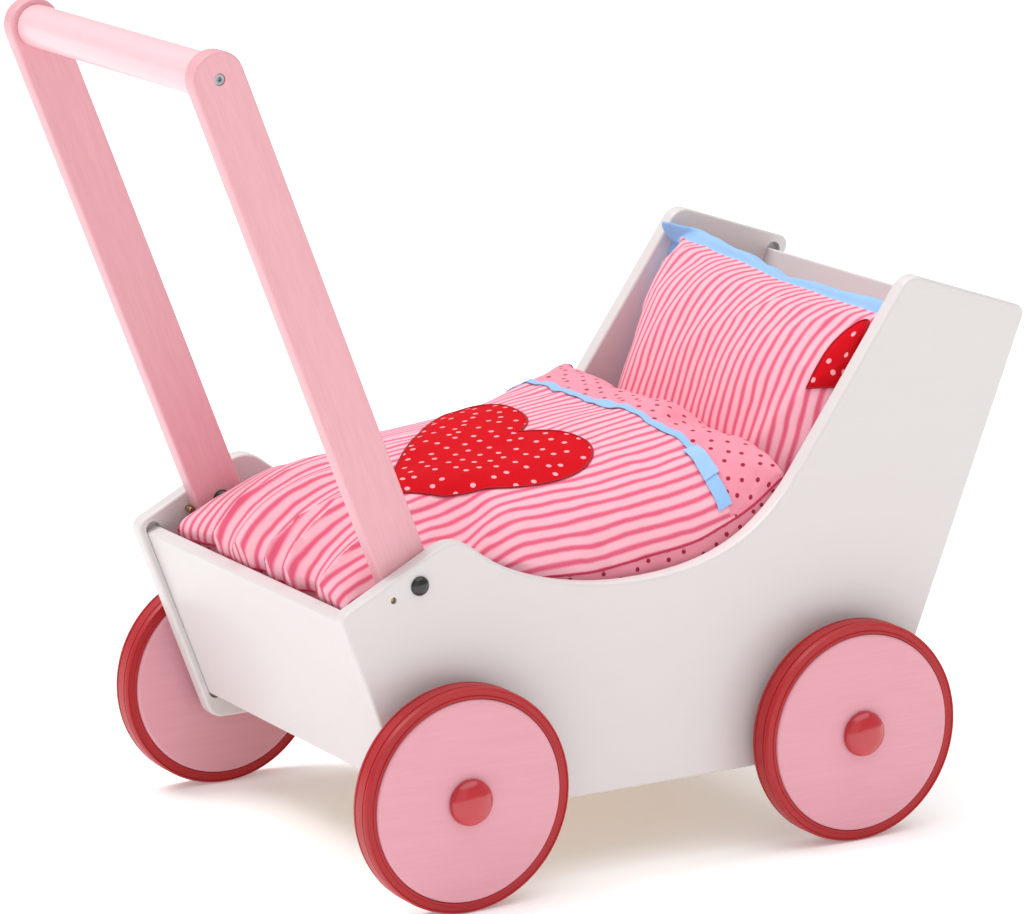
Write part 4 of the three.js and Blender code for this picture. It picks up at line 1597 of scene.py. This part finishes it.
@dataclass
class Mattress:
    """A thin cotton mattress with a piped edge and rows of tufts."""

    palette: Palette
    rounding: float = 7 * MM
    tuft_depth: float = 2.2 * MM
    tufts: tuple[int, int] = (4, 3)
    piping: float = 1.3 * MM

    def build(self) -> None:
        """Makes the mattress and its piping."""
        low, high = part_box("mattress")
        size, centre = high - low, (high + low) / 2
        bpy.ops.object.select_all(action="DESELECT")
        bpy.ops.mesh.primitive_cube_add(size=1, location=(0, 0, 0))
        obj = finish_primitive("mattress_cover")
        set_coordinates(obj, coordinates(obj) * np.array(size) + np.array(centre))
        apply_modifier(obj, "BEVEL", width=self.rounding, segments=4, limit_method="NONE")
        bpy.ops.object.mode_set(mode="EDIT")
        bpy.ops.mesh.select_all(action="SELECT")
        bpy.ops.mesh.quads_convert_to_tris()
        bpy.ops.mesh.tris_convert_to_quads()
        bpy.ops.object.mode_set(mode="OBJECT")
        apply_modifier(obj, "REMESH", mode="VOXEL", voxel_size=4 * MM)
        self._tuft(obj, centre, size)
        apply_modifier(obj, "SUBSURF", levels=1, render_levels=1)
        write_layout(obj, coordinates(obj)[:, :2])
        smooth(obj, 80)
        self.palette.dress(obj, "ticking")
        place(obj, "pram", "mattress_cotton", "mattress")
        self._pipe(centre, size)

    def _tuft(self, obj: bpy.types.Object, centre: Vector, size: Vector) -> None:
        """Draws the cover in at each tuft."""
        rows = coordinates(obj)
        local = (rows - np.array(centre)) / np.array(size)
        pulled = np.zeros(len(rows))
        for i in range(self.tufts[0]):
            for k in range(self.tufts[1]):
                spot = np.array(((i + 0.5) / self.tufts[0] - 0.5, (k + 0.5) / self.tufts[1] - 0.5))
                gone = np.linalg.norm((local[:, :2] - spot) * np.array(size)[:2], axis=1)
                pulled = np.maximum(pulled, np.exp(-gone / (11 * MM)))
        on_top = np.abs(local[:, 2]) > 0.42
        rows[:, 2] -= np.sign(local[:, 2]) * on_top * self.tuft_depth * 2 * pulled
        set_coordinates(obj, rows)

    def _pipe(self, centre: Vector, size: Vector) -> None:
        """Runs a piping cord round the top edge."""
        reach = self.rounding * 0.35
        half = Vector((size.x / 2 - reach, size.y / 2 - reach, 0))
        height = centre.z + size.z / 2 - reach
        corner = 10 * MM
        line = []
        for turn, (sx, sy) in enumerate(((1, 1), (-1, 1), (-1, -1), (1, -1))):
            for k in range(9):
                angle = (turn + k / 8) * math.pi / 2
                spot = (half.x - corner) * sx + corner * math.cos(angle), (half.y - corner) * sy + corner * math.sin(angle)
                line.append((centre.x + spot[0], centre.y + spot[1], height))
        line.append(line[0])
        cord = tube_along("mattress_piping", np.array(line), self.piping, 10)
        write_layout(cord, coordinates(cord)[:, :2])
        self.palette.dress(cord, "ticking")
        place(cord, "pram", "mattress_cotton")


# ---------------------------------------------------------------- studio


@dataclass(frozen=True)
class Softbox:
    """A broad, even light from one direction."""

    name: str
    comes_from: tuple[float, float, float]
    strength: float
    spread: float
    tint: tuple[float, float, float] = (1.0, 1.0, 1.0)

    def hang(self) -> None:
        """Adds the light."""
        data = bpy.data.lights.new(self.name, "SUN")
        data.energy, data.angle, data.color = self.strength, math.radians(self.spread), self.tint
        lamp = bpy.data.objects.new(self.name, data)
        bpy.context.scene.collection.objects.link(lamp)
        lamp.rotation_euler = Vector(self.comes_from).to_track_quat("Z", "Y").to_euler()


@dataclass
class Studio:
    """The camera, the pale floor and the soft light."""

    lens: float = 189.0
    azimuth: float = math.radians(-29.685)
    elevation: float = math.radians(13.169)
    roll: float = math.radians(-0.592)
    position: tuple[float, float, float] = (-1.63205, -2.85555, 1.00025)
    room_light: float = 0.5
    boxes: tuple[Softbox, ...] = (
        Softbox("key light", (-0.36, 0.32, 0.84), 1.65, 30.0),
        Softbox("top light", (0.1, -0.15, 1.0), 1.3, 70.0),
        Softbox("front light", (-0.5, -0.8, 0.4), 0.25, 60.0),
    )

    def build(self) -> None:
        """Sets everything up."""
        self._camera()
        self._floor()
        self._world()
        for box in self.boxes:
            box.hang()
        bpy.context.scene.view_settings.view_transform = "Standard"

    def _camera(self) -> None:
        """Places the camera from its direction and its roll."""
        data = bpy.data.cameras.new("camera")
        data.lens, data.sensor_width, data.sensor_fit = self.lens, 36.0, "HORIZONTAL"
        data.clip_end = 20.0
        camera = bpy.data.objects.new("camera", data)
        bpy.context.scene.collection.objects.link(camera)
        cos_e, sin_e = math.cos(self.elevation), math.sin(self.elevation)
        back = Vector((math.sin(self.azimuth) * cos_e, -math.cos(self.azimuth) * cos_e, sin_e))
        right = Vector((math.cos(self.azimuth), math.sin(self.azimuth), 0.0))
        level_up = back.cross(right)
        tilted = right * math.cos(self.roll) + level_up * math.sin(self.roll)
        up = back.cross(tilted)
        camera.matrix_world = Matrix.Translation(self.position) @ Matrix((tilted, up, back)).transposed().to_4x4()
        bpy.context.scene.camera = camera

    def _floor(self) -> None:
        """Lays the pale floor."""
        bpy.ops.object.select_all(action="DESELECT")
        bpy.ops.mesh.primitive_plane_add(size=40)
        floor = finish_primitive("floor")
        start = start_material("pale floor", Roughness=0.9, Emission_Color=(1.0, 1.0, 1.0, 1.0), Emission_Strength=0.22)
        cloud = start.graph.add("TexNoise", {"Scale": 2.0, "Detail": 2.0})
        start.feed("Base Color", start.graph.mix(cloud.outputs[0], linear(250, 250, 250), linear(253, 253, 253)))
        floor.data.materials.append(start.material)

    def _world(self) -> None:
        """Fills the room with even white light."""
        world = bpy.data.worlds.new("studio")
        world.use_nodes = True
        background = world.node_tree.nodes["Background"]
        background.inputs["Color"].default_value = (1.0, 1.0, 1.0, 1.0)
        background.inputs["Strength"].default_value = self.room_light
        bpy.context.scene.world = world


def main() -> None:
    """Builds the pram and its studio, piece by piece."""
    logging.basicConfig(level=logging.INFO, format="%(name)s: %(message)s")
    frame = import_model()
    bpy.ops.object.select_all(action="DESELECT")
    Studio().build()
    palette = Palette(Patterns())
    Tub(frame["nodes"], palette).build()
    Wheels(palette).build()
    Handle(frame["nodes"], palette).build()
    Mattress(palette).build()
    Duvet(palette).build()
    Pillow(palette).build()
    log.info("built")


if __name__ == "__main__":
    main()
